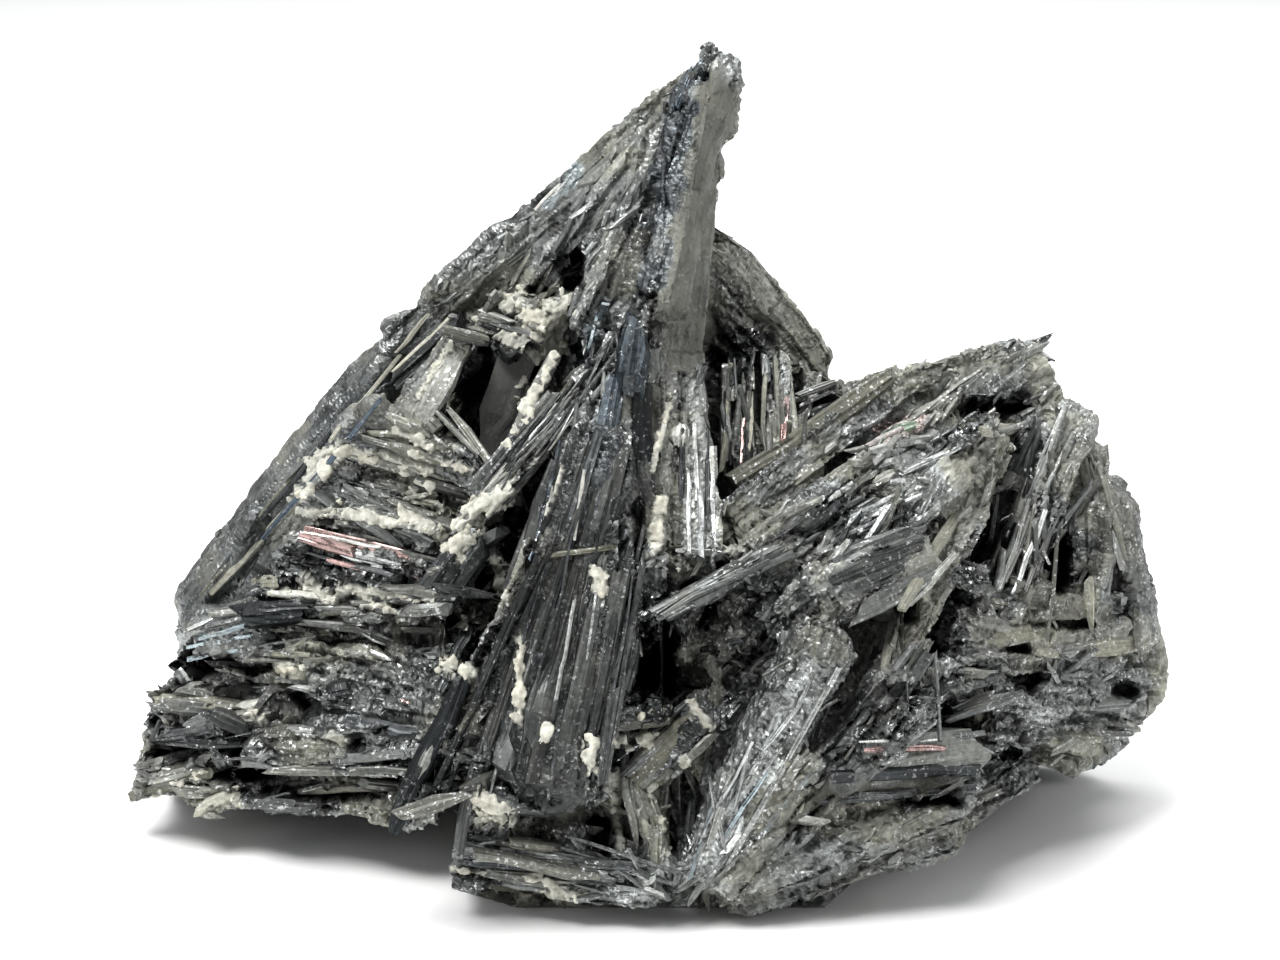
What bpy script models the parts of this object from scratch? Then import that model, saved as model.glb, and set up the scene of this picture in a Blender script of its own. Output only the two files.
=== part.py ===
"""Stibnite crystal cluster, about 123 mm wide and 100 mm high.

One natural piece: long flat blades grown together out of a few massive
blocks, leaning into a tall spire, a left wing and a right shoulder.
Millimetres in the numbers below, metres in the model.  +X is the right of
the front view, +Y goes to the back, +Z is up, and the piece stands on z = 0.
"""

import math

import bmesh
import bpy
from mathutils import Matrix, Vector

# ---- driving dimensions -------------------------------------------------
NAME = "stibnite_cluster"
MM = 0.001
UNITS_PER_MM = 8.5      # the front view is drawn at 8.5 drawing units to 1 mm
VIEW_TILT = math.radians(15.0)   # the front view looks down by this much
VIEW_DISTANCE = 380.0   # and is drawn from this far away, mm
VIEW_CENTRE = (640.0, 480.0)     # drawing units of the view's centre
CENTRE_HEIGHT = 44.2    # mm, height of the view's centre above the base
BASE_X = (-22.0, 25.0)  # the flat broken foot that the cluster stands on
BASE_Y = (-24.0, 29.0)
FOOT_TOP = 14.0
BACK_SHARE = 0.93       # the back corners of a block stand this much closer to the middle

# ---- the front view -----------------------------------------------------
_ahead = Vector((0.0, math.cos(VIEW_TILT), -math.sin(VIEW_TILT)))
_above = Vector((0.0, math.sin(VIEW_TILT), math.cos(VIEW_TILT)))
_right = Vector((1.0, 0.0, 0.0))
_eye = Vector((0.0, 0.0, CENTRE_HEIGHT)) - _ahead * VIEW_DISTANCE


def at(u, v, y):
    """The point that is drawn at (u, v) in the front view and lies at depth y, in mm."""
    way = (
        _ahead * VIEW_DISTANCE
        + _right * ((u - VIEW_CENTRE[0]) / UNITS_PER_MM)
        + _above * ((VIEW_CENTRE[1] - v) / UNITS_PER_MM)
    )
    return _eye + way * ((y - _eye.y) / way.y)


# ---- massive blocks: (u, v, front depth, back depth) of each corner ------
BLOCKS = {
    "spire": [(711, 52, 4, 9), (694, 78, 2, 14), (729, 92, 5, 15), (720, 140, 4, 16), (662, 210, -3, 20),
              (710, 250, 2, 22), (640, 320, -8, 24), (706, 350, -2, 26), (590, 400, -10, 24)],
    "spine": [(640, 320, -8, 24), (706, 350, -4, 26), (572, 440, -14, 24), (715, 540, -16, 28), (515, 600, -22, 26),
              (484, 770, -28, 26), (500, 830, -28, 26), (640, 850, -24, 30), (690, 700, -16, 32), (600, 600, -26, 30)],
    "left_slope": [(690, 84, 4, 12), (560, 200, 5, 16), (446, 276, 6, 18), (384, 356, 6, 20), (560, 330, 5, 24),
                   (600, 420, 6, 26), (440, 480, 3, 24)],
    "left_wing": [(384, 360, 5, 20), (196, 584, 6, 22), (172, 660, 2, 22), (470, 500, 2, 26), (520, 600, 0, 28),
                  (420, 700, -8, 28), (300, 560, -2, 24)],
    "left_foot": [(172, 660, 0, 20), (146, 730, -2, 20), (140, 790, -3, 18), (220, 812, -8, 22), (420, 818, -16, 26),
                  (520, 700, -12, 28), (430, 640, -12, 28), (250, 640, -6, 22)],
    "right_mass": [(730, 560, -14, 28), (860, 470, -2, 30), (940, 480, -2, 30), (1000, 620, -8, 30), (1000, 760, -12, 30),
                   (930, 846, -20, 28), (800, 896, -26, 30), (700, 900, -28, 30), (680, 720, -16, 30)],
    "right_top": [(760, 520, -8, 28), (846, 396, 6, 26), (930, 368, 6, 26), (1036, 344, 10, 22), (1056, 400, 8, 24),
                  (1092, 460, 4, 24), (940, 520, -6, 28)],
    "right_edge": [(1056, 400, 8, 22), (1096, 458, 6, 22), (1126, 530, 6, 24), (1150, 620, 4, 24), (1158, 690, 2, 22),
                   (1110, 740, -2, 24), (1010, 780, -10, 28), (980, 600, -6, 30), (1000, 470, 2, 26)],
    "back_ridge": [(706, 236, 10, 20), (734, 272, 12, 26), (790, 330, 12, 28), (838, 386, 14, 30), (820, 500, 14, 34),
                   (640, 420, 10, 32), (690, 620, 14, 38)],
    "back_mass": [(560, 420, 14, 28), (700, 400, 14, 34), (860, 480, 14, 34), (980, 620, 12, 34), (960, 780, 8, 34),
                  (700, 860, 6, 38), (440, 800, 6, 32), (330, 640, 10, 28), (420, 520, 12, 28)],
    "bottom_bar": [(452, 842, -26, 6), (452, 884, -27, 6), (560, 836, -28, 6), (620, 900, -30, 6), (640, 850, -28, 6)],
    "apex_knob": [(700, 56, 4, 9), (712, 42, 5, 8), (722, 54, 4, 10), (734, 76, 6, 12), (708, 84, 2, 12)],
}

# ---- blades: u, v, y of one end, u, v, y of the other, width there and here, thickness, turn ----
BLADES = [
    # spire and its left slope
    (706, 62, 4, 470, 276, 8, 3.0, 6.0, 4.5, 10),
    (702, 76, 2, 540, 300, 2, 4.0, 7.0, 5.0, 0),
    (704, 66, 2, 648, 300, -9, 4.5, 7.5, 6.0, 25),
    (690, 96, 2, 600, 330, -8, 4.0, 7.0, 5.0, -15),
    (722, 72, 4, 684, 352, -6, 4.5, 7.6, 5.0, -28),
    (732, 76, 8, 712, 236, 8, 3.0, 4.0, 6.0, -60),
    (560, 196, 6, 446, 296, 4, 4.0, 5.0, 4.0, 15),
    (516, 232, 6, 402, 336, 6, 3.6, 4.6, 4.0, 0),
    (620, 240, 0, 500, 350, -2, 4.0, 4.6, 3.5, 10),
    # long left slab
    (462, 308, 8, 304, 494, 8, 8.0, 9.5, 5.0, 8),
    (330, 462, 8, 206, 616, 8, 9.0, 8.0, 5.0, 8),
    (262, 530, 2, 190, 656, 2, 4.0, 4.0, 4.0, 0),
    # blades across the open left side
    (458, 344, -3, 404, 424, -7, 6.0, 6.0, 4.0, 15),
    (520, 322, -7, 390, 384, -9, 3.0, 3.6, 3.0, 40),
    (438, 330, -8, 552, 348, -9, 3.0, 3.0, 3.0, 60),
    (366, 420, -8, 500, 494, -12, 5.0, 5.2, 4.5, 20),
    (344, 450, -7, 452, 480, -10, 5.0, 5.0, 5.0, 55),
    (324, 486, -6, 440, 520, -10, 4.2, 4.6, 5.0, 30),
    (306, 512, -6, 430, 542, -11, 4.0, 4.5, 5.0, 35),
    (296, 540, -7, 424, 574, -12, 3.2, 3.4, 5.0, 25),
    (270, 572, -6, 440, 606, -12, 4.0, 4.0, 6.0, 40),
    (474, 538, -13, 424, 606, -15, 3.6, 3.6, 4.0, 10),
    (250, 604, -6, 470, 632, -14, 4.0, 4.4, 6.0, 30),
    (192, 644, -4, 320, 618, -9, 5.0, 6.0, 6.0, 20),
    (196, 670, -5, 450, 664, -15, 4.5, 4.5, 6.0, 35),
    (168, 700, -3, 330, 700, -12, 5.5, 6.5, 7.0, 20),
    (152, 740, -3, 300, 736, -12, 4.5, 5.5, 7.0, 30),
    (330, 676, -12, 440, 700, -18, 9.0, 9.0, 8.0, 5),
    (250, 752, -12, 440, 752, -20, 7.0, 7.0, 8.0, 15),
    (142, 786, -2, 300, 774, -12, 3.6, 5.0, 7.0, 20),
    (176, 798, -4, 430, 812, -18, 3.6, 4.2, 8.0, 30),
    # central spine
    (646, 306, -9, 484, 500, -16, 4.0, 4.0, 3.5, 20),
    (640, 330, -10, 560, 520, -20, 7.0, 8.0, 6.0, 5),
    (640, 380, -13, 640, 520, -18, 5.0, 5.5, 5.0, -20),
    (600, 430, -18, 500, 770, -34, 7.5, 9.5, 7.0, 5),
    (620, 520, -22, 560, 790, -35, 7.5, 8.5, 7.0, -10),
    (560, 500, -21, 490, 700, -30, 6.0, 7.0, 6.0, 25),
    (540, 540, -25, 414, 816, -34, 4.0, 4.4, 4.0, 15),
    (636, 560, -24, 590, 800, -32, 5.0, 5.5, 6.0, -25),
    (690, 366, -8, 694, 548, -20, 4.5, 8.6, 5.0, -12),
    (650, 556, -22, 644, 640, -25, 5.0, 5.0, 4.0, -10),
    (476, 786, -33, 552, 796, -34, 6.0, 6.0, 5.0, 5),
    (548, 556, -29, 616, 546, -29, 2.4, 2.4, 2.0, 10),
    (784, 546, -22, 650, 616, -27, 2.6, 2.6, 3.0, 20),
    # bottom centre
    (456, 848, -27, 610, 862, -31, 3.6, 3.6, 6.0, 20),
    (458, 874, -27, 616, 888, -31, 3.8, 4.0, 6.0, 15),
    (560, 842, -30, 676, 880, -32, 3.4, 3.0, 5.0, 10),
    (620, 740, -24, 664, 862, -31, 4.0, 3.4, 4.0, -10),
    (596, 732, -29, 674, 722, -26, 2.4, 2.4, 5.0, 50),
    (712, 706, -24, 632, 780, -27, 5.6, 5.6, 4.0, 10),
    (548, 890, -29, 650, 898, -31, 3.2, 3.4, 6.0, 5),
    # right mass
    (700, 884, -31, 826, 648, -30, 6.0, 9.0, 7.0, 10),
    (722, 894, -31, 906, 700, -30, 6.0, 10.0, 8.0, 0),
    (742, 898, -30, 950, 826, -26, 5.0, 8.0, 8.0, 0),
    (760, 880, -31, 960, 800, -27, 6.0, 7.0, 7.0, 5),
    (826, 792, -30, 980, 772, -22, 6.0, 6.5, 6.0, 10),
    (840, 756, -28, 960, 746, -21, 3.6, 4.0, 5.0, 0),
    (912, 652, -26, 842, 760, -30, 2.2, 2.6, 3.0, 10),
    (900, 700, -26, 1010, 668, -18, 5.0, 5.5, 6.0, 10),
    (930, 548, -20, 836, 592, -26, 6.5, 7.0, 6.0, 10),
    (734, 520, -15, 900, 380, 2, 5.0, 6.0, 5.0, 5),
    (760, 560, -22, 930, 440, -8, 7.0, 8.0, 7.0, 0),
    (900, 470, -12, 1022, 364, 6, 8.0, 6.0, 6.0, 5),
    (850, 400, 0, 1024, 350, 8, 4.0, 4.5, 6.0, 0),
    (790, 620, -26, 1000, 430, -8, 6.0, 7.0, 7.0, 5),
    (880, 690, -26, 1004, 440, -6, 5.0, 5.0, 6.0, 0),
    (1010, 596, -13, 1080, 410, 4, 7.0, 6.0, 6.0, 0),
    (1080, 600, -6, 1092, 448, 4, 7.0, 5.0, 6.0, -10),
    (1122, 640, 0, 1096, 480, 6, 5.0, 4.0, 7.0, -20),
    (980, 590, -16, 1116, 612, -2, 4.0, 4.5, 6.0, 20),
    (980, 634, -18, 1126, 642, -2, 6.5, 7.0, 7.0, 0),
    (990, 690, -19, 1140, 690, 0, 6.0, 6.0, 8.0, 0),
    (1000, 730, -18, 1108, 726, -2, 6.0, 5.0, 8.0, 0),
    (920, 836, -22, 1040, 764, -10, 6.0, 5.0, 8.0, 0),
    # ridge behind the saddle
    (722, 244, 12, 818, 370, 14, 6.0, 7.0, 8.0, 0),
    (738, 362, 2, 744, 470, -6, 3.4, 4.4, 4.0, -10),
    (776, 352, 4, 784, 452, -6, 4.4, 5.4, 4.0, 0),
    (812, 366, 8, 804, 440, -4, 3.4, 4.0, 4.0, 0),
    (800, 408, 0, 850, 388, 6, 3.0, 3.0, 5.0, 0),
    # back
    (713, 80, 10, 700, 300, 21, 4.0, 8.0, 4.0, 0),
    (694, 104, 11, 520, 470, 24, 5.0, 8.0, 5.0, 10),
    (640, 158, 11, 400, 520, 23, 5.0, 8.0, 5.0, 0),
    (540, 236, 13, 300, 560, 21, 5.0, 8.0, 5.0, -10),
    (424, 346, 15, 220, 616, 19, 6.0, 8.0, 5.0, 0),
    (300, 500, 18, 186, 712, 18, 6.0, 7.0, 5.0, 10),
    (700, 300, 22, 560, 640, 33, 6.0, 9.0, 5.0, 15),
    (728, 334, 24, 684, 700, 35, 6.0, 8.0, 6.0, -5),
    (790, 352, 26, 764, 620, 34, 6.0, 9.0, 6.0, -15),
    (1026, 364, 18, 760, 500, 29, 6.0, 8.0, 6.0, 0),
    (1072, 456, 19, 820, 566, 31, 6.0, 8.0, 6.0, 10),
    (1106, 546, 20, 900, 640, 31, 6.0, 8.0, 6.0, 0),
    (420, 560, 28, 640, 730, 34, 7.0, 6.0, 6.0, 0),
    (540, 520, 32, 650, 735, 34, 8.0, 6.0, 6.0, 10),
    (800, 560, 33, 680, 735, 34, 8.0, 6.0, 6.0, 0),
    (956, 610, 31, 720, 735, 33, 7.0, 6.0, 6.0, 0),
    (990, 690, 27, 760, 742, 32, 6.0, 5.0, 6.0, 0),
    (380, 670, 26, 600, 738, 32, 7.0, 6.0, 6.0, 10),
    (166, 746, 14, 420, 700, 27, 6.0, 8.0, 6.0, 0),
    (164, 780, 13, 430, 742, 26, 5.0, 7.0, 6.0, 0),
    (196, 694, 17, 460, 620, 28, 6.0, 8.0, 6.0, 10),
    (1120, 690, 17, 880, 724, 31, 7.0, 8.0, 6.0, 0),
    (1076, 732, 16, 840, 742, 29, 6.0, 7.0, 6.0, 0),
]


def solid_from(points, name):
    """The convex block through these corners, none of them below the base."""
    mesh = bmesh.new()
    for p in points:
        mesh.verts.new((p.x * MM, p.y * MM, max(p.z, 0.0) * MM))
    bmesh.ops.convex_hull(mesh, input=mesh.verts)
    bmesh.ops.delete(mesh, geom=[v for v in mesh.verts if not v.link_faces], context="VERTS")
    bmesh.ops.recalc_face_normals(mesh, faces=mesh.faces)
    data = bpy.data.meshes.new(name)
    mesh.to_mesh(data)
    mesh.free()
    return bpy.data.objects.new(name, data)


SECTION = [(-0.5, -0.1), (-0.36, -0.5), (0.34, -0.5), (0.5, 0.05), (0.4, 0.5), (-0.38, 0.5)]


def blade(u0, v0, y0, u1, v1, y1, w0, w1, thick, turn, name):
    """A six-sided blade with chisel ends: flat side to the front, then turned about its length."""
    a, b = at(u0, v0, y0), at(u1, v1, y1)
    along = (b - a).normalized()
    flat = (-_ahead - along * (-_ahead).dot(along)).normalized()
    flat = Matrix.Rotation(math.radians(turn), 3, along) @ flat
    across = along.cross(flat)
    points = []
    for centre, w in ((a, w0), (b, w1)):
        out = along if centre is b else -along
        for s, t in SECTION:
            points.append(centre + across * (s * w) + flat * (t * thick))
        for s in (-0.28, 0.24):
            points.append(centre + out * (0.3 * w) + across * (s * w) + flat * (0.12 * thick))
    return solid_from([p - flat * (0.5 * thick) for p in points], name)


def main():
    for old in list(bpy.data.objects):
        bpy.data.objects.remove(old)
    helpers = bpy.data.collections.new("grown_together")
    bpy.context.scene.collection.children.link(helpers)
    foot = solid_from(
        [Vector((x, y, 0.0)) for x, y in ((BASE_X[0], BASE_Y[0] + 6), (BASE_X[0] + 8, BASE_Y[0]), (BASE_X[1] - 4, BASE_Y[0]),
                                           (BASE_X[1], BASE_Y[0] + 8), (BASE_X[1], BASE_Y[1] - 8), (BASE_X[1] - 10, BASE_Y[1]),
                                           (BASE_X[0] + 8, BASE_Y[1]), (BASE_X[0], BASE_Y[1] - 8))]
        + [Vector((x, y, FOOT_TOP)) for x in (BASE_X[0] + 3, BASE_X[1] - 3) for y in (BASE_Y[0] + 4, BASE_Y[1] - 3)],
        NAME)
    bpy.context.scene.collection.objects.link(foot)
    parts = []
    for name, corners in BLOCKS.items():
        points = []
        for u, v, front, back in corners:
            points.append(at(u, v, front))
            points.append(at(VIEW_CENTRE[0] + (u - VIEW_CENTRE[0]) * BACK_SHARE, v, back))
        parts.append(solid_from(points, "block_" + name))
    for n, row in enumerate(BLADES):
        parts.append(blade(*row, name=f"blade_{n:03d}"))
    for o in parts:
        o.hide_render = True
        o.display_type = "WIRE"
        helpers.objects.link(o)
    join = foot.modifiers.new("grown_together", "BOOLEAN")
    join.operation = "UNION"
    join.operand_type = "COLLECTION"
    join.collection = helpers
    join.solver = "MANIFOLD"
    bpy.context.view_layer.update()
    graph = bpy.context.evaluated_depsgraph_get()
    whole = bpy.data.meshes.new_from_object(foot.evaluated_get(graph))
    foot.modifiers.clear()
    foot.data = whole
    for o in parts:
        bpy.data.objects.remove(o)
    keep_outer_skin(foot.data)
    stibnite = bpy.data.materials.new("stibnite")
    stibnite.use_nodes = True
    shader = stibnite.node_tree.nodes["Principled BSDF"]
    shader.inputs["Base Color"].default_value = (0.10, 0.105, 0.115, 1.0)
    shader.inputs["Roughness"].default_value = 0.42
    shader.inputs["Metallic"].default_value = 0.8
    foot.data.materials.clear()
    foot.data.materials.append(stibnite)


def keep_outer_skin(data):
    """Small voids shut in between blades are filled: only the outer surface stays."""
    mesh = bmesh.new()
    mesh.from_mesh(data)
    bmesh.ops.remove_doubles(mesh, verts=mesh.verts, dist=0.0005 * MM)
    bmesh.ops.triangulate(mesh, faces=mesh.faces)
    todo, groups = set(mesh.faces), []
    while todo:
        start = todo.pop()
        group, stack = {start}, [start]
        while stack:
            for edge in stack.pop().edges:
                for face in edge.link_faces:
                    if face in todo:
                        todo.discard(face)
                        group.add(face)
                        stack.append(face)
        groups.append(group)
    outer = max(groups, key=len)
    bmesh.ops.delete(mesh, geom=[f for g in groups if g is not outer for f in g], context="FACES")
    bmesh.ops.delete(mesh, geom=[v for v in mesh.verts if not v.link_faces], context="VERTS")
    mesh.to_mesh(data)
    mesh.free()


main()
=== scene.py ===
"""The looks of a stibnite crystal cluster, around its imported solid.

The solid gives the massive core.  Over it lie bundles of striated blades,
a fine layer of smaller broken blades that follow them, and pale crusts.
Lengths below are millimetres; u and v are the front view's drawing units,
1280 wide and 960 high, as seen by the camera made at the end.
"""
import math

import bmesh
import bpy
import numpy as np
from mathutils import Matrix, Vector, noise
from mathutils.bvhtree import BVHTree


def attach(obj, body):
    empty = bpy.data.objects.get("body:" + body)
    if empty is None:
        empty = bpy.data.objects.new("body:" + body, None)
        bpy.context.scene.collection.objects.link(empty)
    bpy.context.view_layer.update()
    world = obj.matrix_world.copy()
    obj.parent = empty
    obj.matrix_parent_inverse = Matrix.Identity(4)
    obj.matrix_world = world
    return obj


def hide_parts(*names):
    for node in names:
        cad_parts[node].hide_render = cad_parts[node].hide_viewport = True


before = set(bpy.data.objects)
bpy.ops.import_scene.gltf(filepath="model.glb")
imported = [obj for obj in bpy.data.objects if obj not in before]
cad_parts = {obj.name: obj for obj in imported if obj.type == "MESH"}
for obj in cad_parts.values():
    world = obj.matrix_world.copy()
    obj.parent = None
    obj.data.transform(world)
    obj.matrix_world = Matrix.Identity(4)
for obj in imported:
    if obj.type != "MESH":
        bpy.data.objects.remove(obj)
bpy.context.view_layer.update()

NODE = "stibnite_cluster"
MM = 0.001
RNG = np.random.default_rng(90217)

# ---- the front view, as the camera sees it --------------------------------
TILT = math.radians(15.0)
REACH = 380.0
SCALE = 8.5
CENTRE = (640.0, 480.0)
CENTRE_HEIGHT = 44.2
AHEAD = np.array([0.0, math.cos(TILT), -math.sin(TILT)])
ABOVE = np.array([0.0, math.sin(TILT), math.cos(TILT)])
RIGHT = np.array([1.0, 0.0, 0.0])
EYE = np.array([0.0, 0.0, CENTRE_HEIGHT]) - AHEAD * REACH


def ray(u, v):
    """Directions from the eye through drawing points."""
    u, v = np.asarray(u, float), np.asarray(v, float)
    return AHEAD * REACH + ((u - CENTRE[0]) / SCALE)[..., None] * RIGHT + ((CENTRE[1] - v) / SCALE)[..., None] * ABOVE


def at(u, v, y):
    way = ray(u, v)
    return EYE + way * ((np.asarray(y, float) - EYE[1]) / way[..., 1])[..., None]


def drawn(p):
    """Where points in mm are drawn."""
    q = p - EYE
    far = q @ AHEAD
    return CENTRE[0] + SCALE * REACH * q[..., 0] / far, CENTRE[1] - SCALE * REACH * (q @ ABOVE) / far


def unit(a):
    return a / np.maximum(np.linalg.norm(a, axis=-1, keepdims=True), 1e-9)


# ---- outline of the cluster in the front view ------------------------------
OUTLINE = np.array([
    (122, 790), (135, 765), (130, 735), (150, 680), (170, 640), (180, 600), (178, 575), (230, 520), (300, 450), (340, 405),
    (372, 345), (395, 335), (415, 295), (440, 268), (465, 255), (480, 248), (495, 228), (515, 225), (525, 235), (560, 190),
    (600, 145), (640, 110), (665, 90), (685, 70), (700, 50), (712, 38), (722, 50), (735, 65), (738, 95), (733, 115),
    (722, 130), (728, 150), (722, 165), (715, 185), (714, 215), (725, 225), (730, 260), (745, 262), (770, 290), (800, 320),
    (803, 345), (830, 365), (840, 385), (850, 385), (880, 375), (900, 365), (930, 358), (960, 350), (1000, 345), (1030, 332),
    (1045, 330), (1055, 345), (1060, 375), (1075, 410), (1085, 430), (1100, 445), (1110, 470), (1120, 490), (1130, 530),
    (1132, 565), (1145, 585), (1155, 605), (1157, 640), (1168, 665), (1168, 695), (1155, 710), (1145, 735), (1120, 750),
    (1090, 760), (1060, 765), (1030, 790), (980, 820), (960, 840), (930, 860), (900, 880), (850, 900), (800, 912), (740, 918),
    (690, 915), (665, 905), (640, 905), (615, 915), (600, 905), (575, 912), (545, 905), (500, 895), (450, 890), (443, 870),
    (445, 850), (425, 832), (400, 825), (350, 828), (250, 830), (210, 820), (160, 812), (130, 805)], float)


def inside(u, v, shape=OUTLINE):
    """Whether drawing points lie inside a closed outline."""
    a, b = shape, np.roll(shape, -1, axis=0)
    u, v = np.atleast_1d(u)[:, None], np.atleast_1d(v)[:, None]
    crossing = (a[:, 1] > v) != (b[:, 1] > v)
    where = a[:, 0] + (v - a[:, 1]) * (b[:, 0] - a[:, 0]) / np.where(b[:, 1] == a[:, 1], 1e-9, b[:, 1] - a[:, 1])
    return (crossing & (u < where)).sum(axis=1) % 2 == 1


def margin(u, v):
    """How far drawing points lie inside the outline, negative outside."""
    u, v = np.atleast_1d(u), np.atleast_1d(v)
    gap = np.full(len(u), 1e9)
    for (u0, v0), (u1, v1) in zip(OUTLINE, np.roll(OUTLINE, -1, axis=0)):
        gap = np.minimum(gap, near_line(u, v, u0, v0, u1, v1))
    return np.where(inside(u, v), gap, -gap)


def near_line(u, v, u0, v0, u1, v1):
    du, dv = u1 - u0, v1 - v0
    l = np.clip(((u - u0) * du + (v - v0) * dv) / (du * du + dv * dv + 1e-9), 0, 1)
    return np.hypot(u - u0 - l * du, v - v0 - l * dv)


SLOPES = unit(np.array([(1, 1, 0), (-1, 1, 0), (1, -1, 0), (-1, -1, 0), (1, 0, 1), (-1, 0, 1), (1, 0, -1), (-1, 0, -1),
                        (0, 1, 1), (0, -1, 1), (0, 1, -1), (0, -1, -1), (1, 1, 1), (-1, -1, 1), (1, -1, -1), (-1, 1, -1)], float))


def clouds(p, seed=0):
    """Smooth noise from about -1 to 1 at points (n, 3)."""
    p = np.asarray(p, float)
    cell = np.floor(p).astype(np.int64)
    f = p - cell
    w = f * f * f * (f * (f * 6 - 15) + 10)
    total = np.zeros(len(p))
    for corner in range(8):
        step = np.array([corner & 1, corner >> 1 & 1, corner >> 2 & 1])
        c = cell + step
        h = c[:, 0] * 374761393 + c[:, 1] * 668265263 + c[:, 2] * 974634777 + seed * 362437
        h = (h ^ (h >> 13)) * 1274126177
        h = h ^ (h >> 16)
        total += np.where(step, w, 1 - w).prod(axis=1) * (SLOPES[h & 15] * (f - step)).sum(axis=1)
    return total * 1.7


def mixed(c, seed):
    h = c[:, 0] * 374761393 + c[:, 1] * 668265263 + c[:, 2] * 974634777 + seed * 362437
    h = (h ^ (h >> 13)) * 1274126177
    return (h ^ (h >> 16)) & 0x7FFFFFFFFFFF


def cells(q, seed):
    """Each point's cell among scattered cells one unit wide: its key, the distance to its border, and the way from its middle."""
    q = np.asarray(q, float)
    base = np.floor(q).astype(np.int64)
    best, second = np.full(len(q), 9.0), np.full(len(q), 9.0)
    key, near = np.zeros(len(q), np.int64), np.zeros((len(q), 3))
    for n in range(27):
        c = base + np.array([n % 3 - 1, n // 3 % 3 - 1, n // 9 - 1])
        h = mixed(c, seed)
        delta = q - (c + 0.12 + 0.76 * np.stack([(h >> k & 1023) / 1023.0 for k in (3, 13, 23)], axis=1))
        d = (delta * delta).sum(1)
        closer = d < best
        second = np.where(closer, best, np.minimum(second, d))
        best = np.where(closer, d, best)
        key = np.where(closer, h, key)
        near[closer] = delta[closer]
    return key, np.sqrt(second) - np.sqrt(best), near


def chance(key, n):
    """A number from 0 to 1 for each key."""
    h = (key + n * 7919) * 1103515245
    h = (h ^ (h >> 15)) * 12345701
    return ((h ^ (h >> 12)) >> 5 & 8191) / 8191.0


# ---- finishes: colours, roughness, metal, striation ------------------------
NIGHT = np.array([0.030, 0.033, 0.037])
DARK = np.array([0.066, 0.070, 0.076])
STEEL = np.array([0.168, 0.174, 0.176])
SILVER = np.array([0.450, 0.460, 0.475])
BROWN = np.array([0.160, 0.156, 0.128])
PALE = np.array([0.330, 0.318, 0.275])
BLUE = np.array([0.074, 0.096, 0.128])
ROSE = np.array([0.340, 0.230, 0.225])
GOLD = np.array([0.250, 0.225, 0.130])
GREEN = np.array([0.200, 0.270, 0.210])
CHALK = np.array([0.430, 0.420, 0.385])
# letter: ((colour, share), ...), (roughness low, high), (metal low, high), striation
FINISH = {
    "D": (((NIGHT, .35), (DARK, .50), (STEEL, .12), (BLUE, .03)), (.22, .40), (.85, 1.0), .25),
    "S": (((DARK, .22), (STEEL, .43), (SILVER, .35)), (.18, .36), (.95, 1.0), 1.0),
    "G": (((DARK, .42), (STEEL, .40), (BROWN, .14), (SILVER, .04)), (.28, .50), (.70, 1.0), .6),
    "B": (((BROWN, .70), (STEEL, .20), (DARK, .10)), (.42, .62), (.25, .60), .8),
    "P": (((PALE, .65), (BROWN, .25), (STEEL, .10)), (.55, .80), (.05, .35), .5),
    "R": (((DARK, .44), (STEEL, .40), (SILVER, .09), (BROWN, .07)), (.24, .50), (.80, 1.0), .7),
    "L": (((BLUE, .55), (DARK, .30), (SILVER, .15)), (.16, .32), (.95, 1.0), .9),
    "I": (((ROSE * 1.2, .85), (SILVER, .15)), (.16, .28), (.95, 1.0), .4),
    "K": (((ROSE, .45), (SILVER, .45), (STEEL, .10)), (.14, .24), (.95, 1.0), .8),
    # near-black "N" stands for dark gaps, pits and a wide dark face: painted shade
    "N": (((NIGHT * .45, .80), (NIGHT, .20)), (.30, .50), (.60, .90), .6),
    "W": (((np.array([.56, .55, .52]), .7), (PALE, .3)), (.40, .65), (.0, .2), .5),
    "C": (((np.array([.31, .36, .40]), .80), (SILVER, .20)), (.22, .34), (.9, 1.0), .5),
    "H": (((np.array([.50, .51, .51]), 1.0),), (.24, .36), (.95, 1.0), .6),
    "E": (((GREEN, 1.0),), (.2, .3), (.9, 1.0), .5),
    "U": (((np.array([.052, .062, .074]), 1.0),), (.26, .36), (.85, .95), .7),
    "Y": (((np.array([.095, .096, .095]), 1.0),), (.50, .60), (.2, .4), .1),
}


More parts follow.
